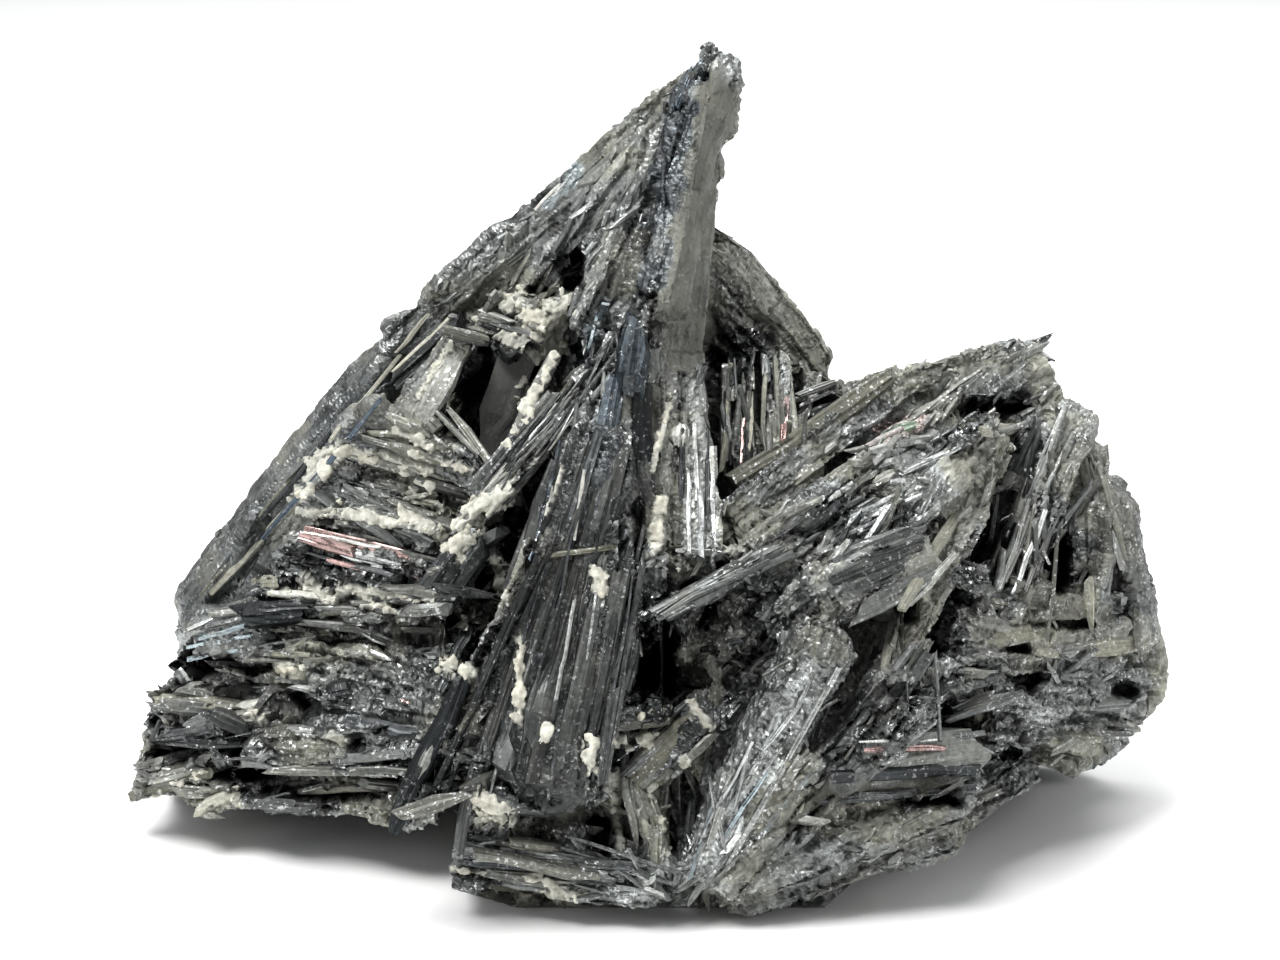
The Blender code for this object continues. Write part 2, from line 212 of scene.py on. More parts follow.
def ground(points, seen, crusted=False):
    """Colour and finish of the skin at points in mm: cloudy patches, and what the front view shows in places, with
    painted shade and painted highlights in it.
    """
    n = len(points)
    wide, near = clouds(points * 0.10, 1), clouds(points * 0.33, 2)
    warm = np.clip((wide + 0.25 * near - 0.04) * 4.0, 0, 1)[:, None]
    cold = np.clip((-wide + 0.25 * near - 0.12) * 4.0, 0, 1)[:, None]
    tint = DARK * 0.20 + STEEL * 0.95 + np.zeros((n, 3))
    tint = tint + (BROWN * 1.1 - tint) * warm * 0.75
    tint = tint + (DARK * 0.8 - tint) * cold * 0.7
    fin = np.stack([0.36 + 0.16 * warm[:, 0] - 0.08 * cold[:, 0], 0.88 - 0.38 * warm[:, 0], np.full(n, 0.8)], axis=1)
    u, v = drawn(points)
    ragged = 1.0 + 0.55 * clouds(points * 0.45, 3)
    # coats of finish, among them painted shade in near-black "N" coats and painted highlights in some bright "S" coats
    for u0, v0, u1, v1, half, letter, share in COATS_AND_PAINTED_LIGHT:
        gap = near_line(u, v, u0, v0, u1, v1)
        hold = (np.clip((ragged * half - gap) / (0.35 * half), 0, 1) * share * seen)[:, None]
        colours, r, m, streak = FINISH[letter]
        mean = sum(c * w for c, w in colours) / sum(w for _, w in colours)
        tint = tint + (mean - tint) * hold
        fin = fin + (np.array([sum(r) / 2, sum(m) / 2, streak]) - fin) * hold
    # painted shade and painted highlights: the colour is multiplied darker or lighter near the listed lines
    shade = np.ones(n)
    for u0, v0, u1, v1, half, times in PAINTED_SHADE_AND_HIGHLIGHT:
        gap = near_line(u, v, u0, v0, u1, v1)
        shade *= 1 + (times - 1) * np.clip((1.2 * ragged * half - gap) / (0.7 * half), 0, 1) * seen
    tint = tint * ((1.0 + 0.35 * near) * shade)[:, None]
    if crusted:
        hold = (crusted_share(points, u, v) * seen)[:, None]
        tint = tint + (CHALK * 1.05 - tint) * hold * .92
        fin = fin + (np.array([.78, 0.0, .3]) - fin) * hold
    return tint, fin


def crusted_share(points, u, v):
    """1 where the pale crusts lie, with mealy edges."""
    mealy = 0.95 + 0.75 * clouds(points * 0.8, 4) + 0.35 * clouds(points * 2.1, 5)
    hold = np.zeros(len(points))
    for u0, v0, u1, v1, half, _, _ in CRUSTS:
        gap = near_line(u, v, u0, v0, u1, v1)
        hold = np.maximum(hold, np.clip((mealy * half - gap) / (0.12 * half), 0, 1))
    return hold


def finish_of(letters):
    """Random colours and finishes for a list of finish letters."""
    n = len(letters)
    tint, fin = np.zeros((n, 3)), np.zeros((n, 3))
    pick = RNG.random(n)
    spread = RNG.normal(1.0, 0.16, n).clip(0.6, 1.5)
    rough, metal = RNG.random(n), RNG.random(n)
    for i, letter in enumerate(letters):
        colours, r, m, streak = FINISH[letter]
        total = 0.0
        for colour, share in colours:
            total += share
            if pick[i] <= total + 1e-9:
                break
        tint[i] = colour * spread[i]
        fin[i] = (r[0] + (r[1] - r[0]) * rough[i], m[0] + (m[1] - m[0]) * metal[i], streak)
    return tint, fin


# ---- meshes of many small solids -------------------------------------------
class Heap:
    """Many small closed solids gathered into one mesh, with a colour, a finish and a grain at each point."""

    def __init__(self):
        self.points, self.loops, self.sizes = [], [], []
        self.tint, self.fin, self.grain = [], [], []
        self.count = 0

    def add(self, points, faces, tint, fin, grain):
        """points (n, k, 3); faces: one list of corner lists for all n; tint, fin (n, 3); grain (n, k, 3)."""
        n, k = points.shape[:2]
        flat = np.concatenate([np.array(f) for f in faces])
        sizes = np.array([len(f) for f in faces])
        start = self.count + np.arange(n)[:, None] * k
        self.loops.append((flat[None, :] + start).reshape(-1))
        self.sizes.append(np.tile(sizes, n))
        self.points.append(points.reshape(-1, 3))
        self.tint.append(np.repeat(tint, k, axis=0))
        self.fin.append(np.repeat(fin, k, axis=0))
        self.grain.append(grain.reshape(-1, 3))
        self.count += n * k

    def made(self, name):
        mesh = bpy.data.meshes.new(name)
        points = np.concatenate(self.points)
        points[:, 2] = np.maximum(points[:, 2], 0.0)
        loops, sizes = np.concatenate(self.loops), np.concatenate(self.sizes)
        mesh.vertices.add(len(points))
        mesh.vertices.foreach_set("co", (points * MM).astype(np.float32).reshape(-1))
        mesh.loops.add(len(loops))
        mesh.loops.foreach_set("vertex_index", loops.astype(np.int32))
        mesh.polygons.add(len(sizes))
        mesh.polygons.foreach_set("loop_start", np.concatenate([[0], np.cumsum(sizes)[:-1]]).astype(np.int32))
        mesh.update(calc_edges=True)
        mesh.validate()
        mesh.shade_flat()
        paint(mesh, np.concatenate(self.tint), np.concatenate(self.fin), np.concatenate(self.grain))
        obj = bpy.data.objects.new(name, mesh)
        bpy.context.scene.collection.objects.link(obj)
        return obj


def paint(mesh, tint, fin, grain):
    tint = tint * np.array([1.110, 1.130, 1.080])
    colour = mesh.attributes.new("tint", "FLOAT_COLOR", "POINT")
    colour.data.foreach_set("color", np.concatenate([tint, np.ones((len(tint), 1))], axis=1).astype(np.float32).reshape(-1))
    for name, values in (("fin", fin), ("grain", grain)):
        attribute = mesh.attributes.new(name, "FLOAT_VECTOR", "POINT")
        attribute.data.foreach_set("vector", values.astype(np.float32).reshape(-1))


WIDE = ([-.50, -.38, -.24, -.10, .05, .20, .36, .50, .38, .12, -.18, -.42],
        [.00, .40, .50, .46, .52, .46, .42, -.02, -.44, -.50, -.48, -.40])
FINE = ([-.50, -.26, .04, .30, .50, .22, -.28], [.00, .42, .50, .36, -.06, -.50, -.46])


def tube_faces(k, rings):
    faces = []
    for r in range(rings - 1):
        for i in range(k):
            j = (i + 1) % k
            faces.append([r * k + i, r * k + j, (r + 1) * k + j, (r + 1) * k + i])
    faces.append([i for i in reversed(range(k))])
    faces.append([(rings - 1) * k + i for i in range(k)])
    return faces


def blades(heap, a, b, side, face, width, thick, letters, shape=FINE, rings=3, bend=0.02, ragged=0.5, relief=0.10,
           seen=1.0, blend=0.5):
    """Striated prisms from a to b (n, 3): side and face are unit vectors across and out of the flat side."""
    n = len(a)
    if not n:
        return
    s, t = np.array(shape[0]), np.array(shape[1])
    k = len(s)
    along = b - a
    length = np.linalg.norm(along, axis=1)
    steps = np.linspace(0, 1, rings)[None, :] + np.concatenate(
        [np.zeros((n, 1)), RNG.uniform(-.1, .1, (n, rings - 2)), np.zeros((n, 1))], axis=1)
    across = s[None, :] + RNG.normal(0, 0.03, (n, k))
    out = t[None, :] + RNG.normal(0, relief, (n, k))
    # ring scale: ends a little thinner
    scale = 1.0 - RNG.uniform(0, .12, (n, rings))
    scale[:, 0] *= RNG.uniform(.55, 1.0, n)
    scale[:, -1] *= RNG.uniform(.55, 1.0, n)
    curve = RNG.normal(0, bend, (n, rings, 2)) * length[:, None, None]
    curve[:, 0] = 0
    middle = a[:, None, :] + along[:, None, :] * steps[..., None]
    middle = middle + side[:, None, :] * curve[..., :1] + face[:, None, :] * curve[..., 1:]
    px = across[:, None, :] * scale[..., None] * width[:, None, None]
    py = out[:, None, :] * scale[..., None] * thick[:, None, None]
    wobble = RNG.normal(0, 0.03, (n, rings, k)) * thick[:, None, None]
    py = py + wobble
    points = middle[:, :, None, :] + px[..., None] * side[:, None, None, :] + py[..., None] * face[:, None, None, :]
    # slanted, broken ends
    way = unit(along)
    for ring, sign in ((0, -1.0), (rings - 1, 1.0)):
        slant = RNG.normal(0, ragged, (n, 2))
        shift = (slant[:, :1] * across + slant[:, 1:] * out + RNG.normal(0, 0.14 * ragged, (n, k))) * np.minimum(
            width, 0.5 * length)[:, None]
        points[:, ring] += sign * shift[..., None] * way[:, None, :]
    edge = (np.cumsum(np.hypot(np.diff(s, append=s[0]), np.diff(t, append=t[0]))) - 0.5)
    gu = np.broadcast_to(edge[None, None, :] * width[:, None, None], (n, rings, k))
    gv = np.broadcast_to((steps * length[:, None])[..., None], (n, rings, k))
    gw = np.broadcast_to(RNG.uniform(0, 400, n)[:, None, None], (n, rings, k))
    grain = np.stack([gu, gv, gw], axis=-1).reshape(n, rings * k, 3)
    tint, fin = finish_of(letters)
    ground_tint, ground_fin = ground(0.5 * (a + b), seen)
    tint = tint + (ground_tint * RNG.normal(1.0, 0.12, (n, 1)) - tint) * blend
    fin = fin + (ground_fin - fin) * blend
    heap.add(points.reshape(n, rings * k, 3), tube_faces(k, rings), tint, fin, grain)


# ---- bundles of blades: u, v, y of each end, widths, thickness, turn, finish, sub-blade width ----
BUNDLES = [
    # spire and its left slope
    (706, 62, 4, 470, 276, 8, 3.0, 6.0, 4.5, 10, "S", 1.0),
    (702, 76, 2, 540, 300, 2, 4.0, 7.0, 5.0, 0, "R", 0.9),
    (704, 66, 2, 648, 300, -9, 4.5, 7.5, 6.0, 25, "R", 0.8),
    (690, 96, 2, 600, 330, -8, 4.0, 7.0, 5.0, -15, "G", 0.9),
    (714, 72, 4, 687, 345, -6, 4.5, 7.6, 5.0, -22, "B", 2.6),
    (732, 76, 8, 712, 236, 8, 3.0, 4.0, 6.0, -60, "B", 1.2),
    (560, 196, 6, 446, 296, 4, 4.0, 5.0, 4.0, 15, "R", 0.8),
    (516, 232, 6, 402, 336, 6, 3.6, 4.6, 4.0, 0, "D", 1.2),
    (620, 240, 0, 500, 350, -2, 4.0, 4.6, 3.5, 10, "G", 0.9),
    # long left slab
    (462, 308, 8, 304, 494, 8, 8.0, 9.5, 5.0, 8, "D", 2.4),
    (330, 462, 8, 206, 616, 8, 9.0, 8.0, 5.0, 8, "D", 2.4),
    (262, 530, 2, 190, 656, 2, 4.0, 4.0, 4.0, 0, "D", 1.4),
    # blades across the open left side
    (454, 344, -3, 414, 424, -7, 5.2, 5.0, 3.0, 15, "P", 5.6),
    (520, 350, 0, 486, 448, -1, 4.8, 4.8, 2.0, 0, "Y", 4.6),
    (454, 320, 2.6, 388, 378, 2.8, 2.0, 2.8, 3.4, 30, "D", 1.4),
    (440, 333, -4.2, 488, 345, -4.4, 2.2, 2.2, 3.6, 50, "B", 0.7),
    (474, 312, 1.5, 542, 338, -3.5, 3.4, 3.0, 4.0, 40, "G", 1.2),
    (369, 421, -8, 490, 485, -12, 3.8, 3.6, 4.0, 20, "B", 1.3),
    (424, 418, -7.8, 474, 466, -11.6, 2.8, 2.4, 2.4, 20, "D", 0.9),
    (443, 405, -6.8, 490, 466, -11.8, 1.3, 1.3, 1.3, 15, "P", 1.4),
    (344, 450, -7, 452, 480, -10, 5.0, 5.0, 5.0, 55, "B", 1.1),
    (324, 486, -6, 440, 520, -10, 4.2, 4.6, 5.0, 30, "D", 1.1),
    (306, 512, -6, 430, 542, -11, 4.0, 4.5, 5.0, 35, "B", 1.1),
    (296, 540, -7, 424, 574, -12, 3.2, 3.4, 5.0, 25, "I", 0.9),
    (270, 572, -6, 440, 606, -12, 4.0, 4.0, 6.0, 40, "G", 1.0),
    (474, 538, -13, 424, 606, -15, 3.6, 3.6, 4.0, 10, "D", 1.6),
    (250, 604, -6, 470, 632, -14, 4.0, 4.4, 6.0, 30, "R", 0.9),
    (192, 644, -4, 320, 618, -9, 5.0, 6.0, 6.0, 20, "S", 0.9),
    (196, 670, -5, 450, 664, -15, 4.5, 4.5, 6.0, 35, "G", 0.9),
    (168, 700, -3, 330, 700, -12, 5.5, 6.5, 7.0, 20, "G", 1.0),
    (152, 740, -3, 300, 736, -12, 4.5, 5.5, 7.0, 30, "B", 0.9),
    (330, 676, -12, 440, 700, -18, 9.0, 9.0, 8.0, 5, "R", 0.9),
    (250, 752, -12, 440, 752, -20, 7.0, 7.0, 8.0, 15, "R", 0.9),
    (142, 786, -2, 300, 774, -12, 3.6, 5.0, 7.0, 20, "P", 1.0),
    (176, 798, -4, 430, 812, -18, 3.6, 4.2, 8.0, 30, "G", 0.9),
    # central spine
    (566, 392, -12, 481, 497, -16, 3.4, 4.6, 3.5, 20, "S", 0.6),
    (557, 345, -8.5, 508, 444, -13, 2.0, 1.8, 4.0, 15, "P", 2.4),
    (640, 330, -10, 560, 520, -20, 7.0, 8.0, 6.0, 5, "D", 1.8),
    (638, 316, -10.6, 629, 394, -14.4, 3.6, 4.4, 4.0, 8, "U", 4.2),
    (614, 372, -13.6, 596, 470, -19.0, 2.6, 3.0, 3.0, 14, "U", 2.8),
    # a near-black "N" slab over the wide dark face in the middle: painted shade
    (640, 380, -13, 640, 520, -18, 5.0, 5.5, 5.0, -20, "N", 2.8),
    (600, 430, -18, 500, 770, -34, 7.5, 9.5, 7.0, 5, "D", 2.0),
    (620, 520, -22, 560, 790, -35, 7.5, 8.5, 7.0, -10, "D", 2.4),
    (560, 500, -21, 490, 700, -30, 6.0, 7.0, 6.0, 25, "D", 1.4),
    (540, 540, -25, 414, 816, -34, 4.0, 4.4, 4.0, 15, "D", 1.2),
    (636, 560, -24, 590, 800, -32, 5.0, 5.5, 6.0, -25, "D", 1.6),
    (690, 366, -8, 694, 548, -20, 4.5, 8.6, 5.0, -12, "S", 1.0),
    (650, 556, -22, 644, 640, -25, 5.0, 5.0, 4.0, -10, "G", 1.4),
    (476, 786, -33, 552, 796, -34, 6.0, 6.0, 5.0, 5, "D", 1.8),
    (784, 546, -22, 650, 616, -27, 1.9, 2.2, 3.0, 20, "D", 0.7),
    # bottom centre
    (456, 848, -27, 610, 862, -31, 3.6, 3.6, 6.0, 20, "G", 0.9),
    (458, 874, -27, 616, 888, -31, 3.8, 4.0, 6.0, 15, "G", 0.9),
    (560, 842, -30, 676, 880, -32, 3.4, 3.0, 5.0, 10, "S", 0.8),
    (620, 740, -24, 664, 862, -31, 4.0, 3.4, 4.0, -10, "G", 0.8),
    (596, 732, -29, 674, 722, -26, 2.4, 2.4, 5.0, 50, "P", 1.0),
    (712, 706, -24, 632, 780, -27, 5.6, 5.6, 4.0, 10, "B", 2.4),
    (548, 890, -29, 650, 898, -31, 3.2, 3.4, 6.0, 5, "R", 0.8),
    # right mass
    (700, 884, -31, 826, 648, -30, 6.0, 9.0, 7.0, 10, "S", 0.8),
    (722, 894, -31, 906, 700, -30, 6.0, 10.0, 8.0, 0, "R", 0.8),
    (742, 898, -30, 950, 826, -26, 5.0, 8.0, 8.0, 0, "R", 0.8),
    (760, 880, -31, 960, 800, -27, 6.0, 7.0, 7.0, 5, "R", 0.8),
    (826, 792, -30, 980, 772, -22, 6.0, 6.5, 6.0, 10, "D", 3.1),
    (840, 754, -28, 960, 744, -21, 3.2, 3.4, 5.0, 0, "K", 1.6),
    (926, 640, -26, 842, 760, -30, 2.0, 2.6, 3.0, 10, "B", 0.8),
    (900, 700, -26, 1010, 668, -18, 5.0, 5.5, 6.0, 10, "G", 1.0),
    (930, 548, -20, 836, 592, -26, 6.5, 7.0, 6.0, 10, "D", 1.8),
    (734, 520, -15, 900, 380, 2, 5.0, 6.0, 5.0, 5, "G", 1.4),
    (760, 560, -22, 930, 440, -8, 7.0, 8.0, 7.0, 0, "R", 0.9),
    (900, 470, -12, 1022, 364, 6, 8.0, 6.0, 6.0, 5, "S", 0.9),
    (850, 400, 0, 1024, 350, 8, 4.0, 4.5, 6.0, 0, "R", 0.8),
    (790, 620, -26, 1000, 430, -8, 6.0, 7.0, 7.0, 5, "S", 0.8),
    (880, 690, -26, 1004, 440, -6, 5.0, 5.0, 6.0, 0, "P", 0.9),
    (1010, 596, -13, 1080, 410, 4, 7.0, 6.0, 6.0, 0, "D", 1.0),
    (1080, 600, -6, 1092, 448, 4, 7.0, 5.0, 6.0, -10, "G", 1.0),
    (1122, 640, 0, 1096, 480, 6, 5.0, 4.0, 7.0, -20, "G", 0.9),
    (980, 590, -16, 1116, 612, -2, 4.0, 4.5, 6.0, 20, "B", 1.2),
    (980, 634, -18, 1126, 642, -2, 6.5, 7.0, 7.0, 0, "B", 1.2),
    (990, 690, -19, 1140, 690, 0, 6.0, 6.0, 8.0, 0, "R", 0.9),
    (1000, 730, -18, 1108, 726, -2, 6.0, 5.0, 8.0, 0, "R", 0.8),
    (920, 836, -22, 1040, 764, -10, 6.0, 5.0, 8.0, 0, "R", 0.8),
    # ridge behind the saddle
    (722, 244, 12, 818, 370, 14, 6.0, 7.0, 8.0, 0, "R", 0.9),
    (738, 362, 2, 744, 470, -6, 3.4, 4.4, 4.0, -10, "B", 0.8),
    (776, 352, 4, 784, 452, -6, 4.4, 5.4, 4.0, 0, "B", 0.8),
    (812, 366, 8, 804, 440, -4, 3.4, 4.0, 4.0, 0, "B", 0.8),
    (800, 408, 0, 850, 388, 6, 3.0, 3.0, 5.0, 0, "D", 0.6),
    # back
    (713, 80, 10, 700, 300, 21, 4.0, 8.0, 4.0, 0, "G", 1.3),
    (694, 104, 11, 520, 470, 24, 5.0, 8.0, 5.0, 10, "R", 1.1),
    (640, 158, 11, 400, 520, 23, 5.0, 8.0, 5.0, 0, "D", 1.6),
    (540, 236, 13, 300, 560, 21, 5.0, 8.0, 5.0, -10, "G", 1.1),
    (424, 346, 15, 220, 616, 19, 6.0, 8.0, 5.0, 0, "D", 2.0),
    (300, 500, 18, 186, 712, 18, 6.0, 7.0, 5.0, 10, "R", 1.1),
    (700, 300, 22, 560, 640, 33, 6.0, 9.0, 5.0, 15, "S", 1.1),
    (728, 334, 24, 684, 700, 35, 6.0, 8.0, 6.0, -5, "D", 1.6),
    (790, 352, 26, 764, 620, 34, 6.0, 9.0, 6.0, -15, "R", 1.1),
    (1026, 364, 18, 760, 500, 29, 6.0, 8.0, 6.0, 0, "D", 1.3),
    (1072, 456, 19, 820, 566, 31, 6.0, 8.0, 6.0, 10, "R", 1.1),
    (1106, 546, 20, 900, 640, 31, 6.0, 8.0, 6.0, 0, "G", 1.2),
    (420, 560, 28, 640, 730, 34, 7.0, 6.0, 6.0, 0, "R", 1.1),
    (540, 520, 32, 650, 735, 34, 8.0, 6.0, 6.0, 10, "D", 1.5),
    (800, 560, 33, 680, 735, 34, 8.0, 6.0, 6.0, 0, "S", 1.1),
    (956, 610, 31, 720, 735, 33, 7.0, 6.0, 6.0, 0, "G", 1.2),
    (990, 690, 27, 760, 742, 32, 6.0, 5.0, 6.0, 0, "R", 1.1),
    (380, 670, 26, 600, 738, 32, 7.0, 6.0, 6.0, 10, "G", 1.2),
    (166, 746, 14, 420, 700, 27, 6.0, 8.0, 6.0, 0, "R", 1.1),
    (164, 780, 13, 430, 742, 26, 5.0, 7.0, 6.0, 0, "B", 1.1),
    (196, 694, 17, 460, 620, 28, 6.0, 8.0, 6.0, 10, "G", 1.2),
    (1120, 690, 17, 880, 724, 31, 7.0, 8.0, 6.0, 0, "R", 1.1),
    (1076, 732, 16, 840, 742, 29, 6.0, 7.0, 6.0, 0, "G", 1.1),
]


def bundle_axes():
    rows = []
    for u0, v0, y0, u1, v1, y1, w0, w1, thick, turn, letter, fine in BUNDLES:
        a, b = at(u0, v0, y0), at(u1, v1, y1)
        back = y0 > 9 and y1 > 17
        along = unit(b - a)
        flat = -AHEAD
        flat = unit(flat - along * (flat @ along))
        c, s = math.cos(math.radians(turn)), math.sin(math.radians(turn))
        flat = flat * c + np.cross(along, flat) * s
        rows.append(dict(a=a, b=b, along=along, flat=flat, across=np.cross(along, flat), w0=w0, w1=w1, thick=thick,
                         letter=letter, fine=fine, back=back, start=(u0, v0), length=np.linalg.norm(b - a)))
    return rows


AXES = bundle_axes()
SEG_A = np.array([r["a"] - r["flat"] * 0.5 * r["thick"] for r in AXES])
SEG_B = np.array([r["b"] - r["flat"] * 0.5 * r["thick"] for r in AXES])
SEG_D = unit(SEG_B - SEG_A)
SEG_L = np.linalg.norm(SEG_B - SEG_A, axis=1)
SEG_W = np.array([(r["w0"] + r["w1"]) / 4 for r in AXES])


def nearest_bundle(points):
    """For each point in mm: the bundle nearest to it, the distance past that bundle's half width, and the length along it."""
    which, gap, far = np.zeros(len(points), int), np.zeros(len(points)), np.zeros(len(points))
    for i in range(0, len(points), 8000):
        p = points[i:i + 8000, None, :] - SEG_A[None]
        l = np.clip((p * SEG_D[None]).sum(-1), 0, SEG_L[None])
        d = np.linalg.norm(p - l[..., None] * SEG_D[None], axis=-1) - SEG_W[None]
        w = d.argmin(axis=1)
        rows = np.arange(len(w))
        which[i:i + 8000], gap[i:i + 8000], far[i:i + 8000] = w, d[rows, w], l[rows, w]
    return which, gap, far


# Share of a bundle's sub-blades that stand out of the grown-together skin, by the bundle's first point
STANDING = {
    (520, 350): 1, (454, 344): 1, (454, 320): 1, (440, 333): 1, (474, 312): .8, (424, 418): 1, (443, 405): 1, (369, 421): .9, (344, 450): .8, (324, 486): .6, (306, 512): .6,
    (296, 540): 1, (474, 538): .9, (192, 644): .6, (566, 392): 1, (557, 345): 1, (640, 330): .3, (638, 316): 1, (614, 372): 1, (640, 380): .6, (600, 430): 1,
    (620, 520): 1, (560, 500): 1, (540, 540): .7, (636, 560): 1, (690, 366): .35, (476, 786): .5,
    (784, 546): .9, (456, 848): .4, (458, 874): .4, (560, 842): .5, (620, 740): .5, (596, 732): .8, (712, 706): 1,
    (700, 884): .12, (826, 792): .9, (840, 756): 1, (926, 640): 1, (930, 548): .8, (734, 520): .35, (900, 470): .25,
    (1010, 596): .5, (980, 590): .5, (980, 634): .2, (738, 362): .7, (776, 352): .7, (812, 366): .7,
    (800, 408): .9, (462, 308): .3, (330, 462): .3, (262, 530): .3,
}


def fill_bundles(heap_front, heap_back, solid):
    """Each bundle is a striated slab: flat sub-blades side by side, nearly flush, broken off at many lengths."""
    for row in AXES:
        heap = heap_back if row["back"] else heap_front
        length = row["length"]
        w_mean, thick = 0.5 * (row["w0"] + row["w1"]), row["thick"]
        single = row["fine"] > 0.7 * w_mean
        fine = row["fine"] if single else row["fine"] * (1.7 if row["fine"] < 1.5 else 1.15)
        built = .3 if row["back"] else STANDING.get(row["start"], 0.0)
        front = 1 if single else max(3, int(round(w_mean / fine * 2.0)))
        sides = 0 if single else max(1, int(round(0.7 * thick / fine)))
        pieces = []   # place across, depth of the face, roll
        for i in range(front):
            place = 0.0 if single else -.45 + .90 * i / (front - 1) + RNG.normal(0, .02)
            pieces.append((place, RNG.uniform(-.45, .12) * min(fine, 1.4), place * 36 + RNG.normal(0, 5)))
        for i in range(sides):
            for edge in (-1, 1):
                pieces.append((edge * 0.46, -thick * RNG.uniform(.12, .85), edge * RNG.uniform(55, 95)))
        n = len(pieces)
        place, depth, roll = (np.array(x) for x in zip(*pieces))
        w = fine * np.exp(RNG.normal(0, .45, n)).clip(.4, 2.4)
        if single:
            w[:] = w_mean
        t = np.clip(w * RNG.uniform(.40, .65, n), 0.4, max(0.5, 0.5 * thick))
        whole = (RNG.random(n) < (0.45 if built > .6 else 0.2)) | single
        l0 = np.where(whole, RNG.uniform(.0, .10, n), RNG.uniform(.02, .72, n))
        l1 = np.where(whole, RNG.uniform(.90, 1.0, n), l0 + RNG.uniform(.10, .42, n)).clip(None, 1.0)

        def point(l, drift):
            width = row["w0"] + (row["w1"] - row["w0"]) * l
            return (row["a"] + (l * length)[:, None] * row["along"] + ((place + drift) * width)[:, None] * row["across"]
                    + depth[:, None] * row["flat"])
        drift = RNG.normal(0, 0.0 if single else 0.02, n)
        a, b = point(l0, -drift), point(l1, drift)
        way = unit(b - a)
        roll = np.radians(roll)
        face = unit(row["flat"] - way * (way @ row["flat"])[:, None])
        side = np.cross(way, face)
        # the roll turns the face towards the side on which the piece lies
        face, side = (face * np.cos(roll)[:, None] + side * np.sin(roll)[:, None],
                      side * np.cos(roll)[:, None] - face * np.sin(roll)[:, None])
        a, b = a - face * (0.5 * t)[:, None], b - face * (0.5 * t)[:, None]
        letters = [row["letter"]] * n
        for i in range(n):
            if not single and RNG.random() < 0.08:
                letters[i] = str(RNG.choice(list("DGRS")))
        keep = (RNG.random(n) < built) | single
        if not row["back"]:
            mu, mv = drawn(0.5 * (a + b))
            keep &= ~in_pit(mu, mv) | single
            for _ in range(3):
                over = margin(*drawn(b)) < 3
                b = np.where(over[:, None], a + (b - a) * 0.8, b)
                over = margin(*drawn(a)) < 3
                a = np.where(over[:, None], b + (a - b) * 0.8, a)
            keep &= least_margin(a, b) > 1
        keep &= held(solid, a, b, 5.0)
        if row["back"]:
            keep &= least_margin(a, b) > 0.5 * w * SCALE + 1
        a, b, side, face, w, t = (x[keep] for x in (a, b, side, face, w, t))
        letters = [letter for letter, k in zip(letters, keep) if k]
        own = row["letter"] in "WCYIKLNU"
        blades(heap, a, b, side, face, w, t, letters, shape=WIDE, rings=4, bend=0.004, ragged=0.5,
               relief=0.05 if not single else 0.03, seen=0.0 if row["back"] else 1.0, blend=0.0 if own else 0.65)


# ---- hollows seen from the front: u, v, half width, half height, depth in mm ----
PITS = [
    (664, 664, 17, 50, 11), (672, 796, 7, 11, 5), (670, 842, 6, 10, 4), (569, 280, 8, 13, 5), (577, 264, 6, 12, 4), (478, 395, 16, 42, 5),
    (530, 372, 10, 16, 4), (482, 582, 12, 18, 5), (206, 664, 34, 11, 6), (250, 668, 20, 7, 4), (1006, 556, 14, 28, 7),
    (1060, 560, 9, 30, 6), (934, 800, 28, 8, 6), (1000, 406, 30, 8, 4), (1033, 681, 17, 9, 4), (1125, 691, 9, 7, 3),
    (302, 563, 12, 5, 3), (437, 772, 14, 12, 6), (600, 838, 10, 20, 5), (168, 757, 18, 8, 5), (178, 786, 22, 5, 4), (214, 770, 10, 8, 4), (150, 722, 12, 6, 4), (236, 742, 10, 14, 4), (255, 775, 24, 7, 4),
    (330, 795, 40, 6, 4), (640, 526, 6, 24, 3), (908, 604, 10, 18, 4), (700, 590, 14, 8, 4), (728, 470, 8, 14, 5),
    (758, 400, 6, 40, 6), (798, 410, 5, 30, 5), (830, 404, 22, 5, 4), (540, 292, 14, 5, 3), (1020, 650, 14, 6, 3),
    (560, 610, 4, 26, 2), (588, 700, 4, 50, 3), (450, 620, 8, 14, 4), (905, 690, 14, 8, 4), (860, 720, 16, 6, 3),
    (1075, 625, 20, 5, 3), (345, 640, 30, 4, 2), (300, 700, 14, 6, 3), (398, 730, 16, 6, 3), (520, 865, 40, 4, 2),
]


def pit_depth(u, v, points):
    deep = np.zeros(len(u))
    ragged = 0.45 * clouds(points * 0.5, 7)
    for u0, v0, ru, rv, depth in PITS:
        q = np.hypot((u - u0) / ru, (v - v0) / rv) + ragged
        w = np.clip((1.35 - q) / 0.55, 0, 1)
        deep = np.maximum(deep, depth * w * w * (3 - 2 * w))
    return deep


def in_pit(u, v):
    found = np.zeros(len(u), bool)
    for u0, v0, ru, rv, depth in PITS:
        found |= np.hypot((u - u0) / ru, (v - v0) / rv) < (0.85 if depth > 2.5 else 0.0)
    return found


# ---- the core: the solid's own shape with a broken, granular skin ----------
SPLIT = 15.0    # mm, the depth at which the finer front meets the back


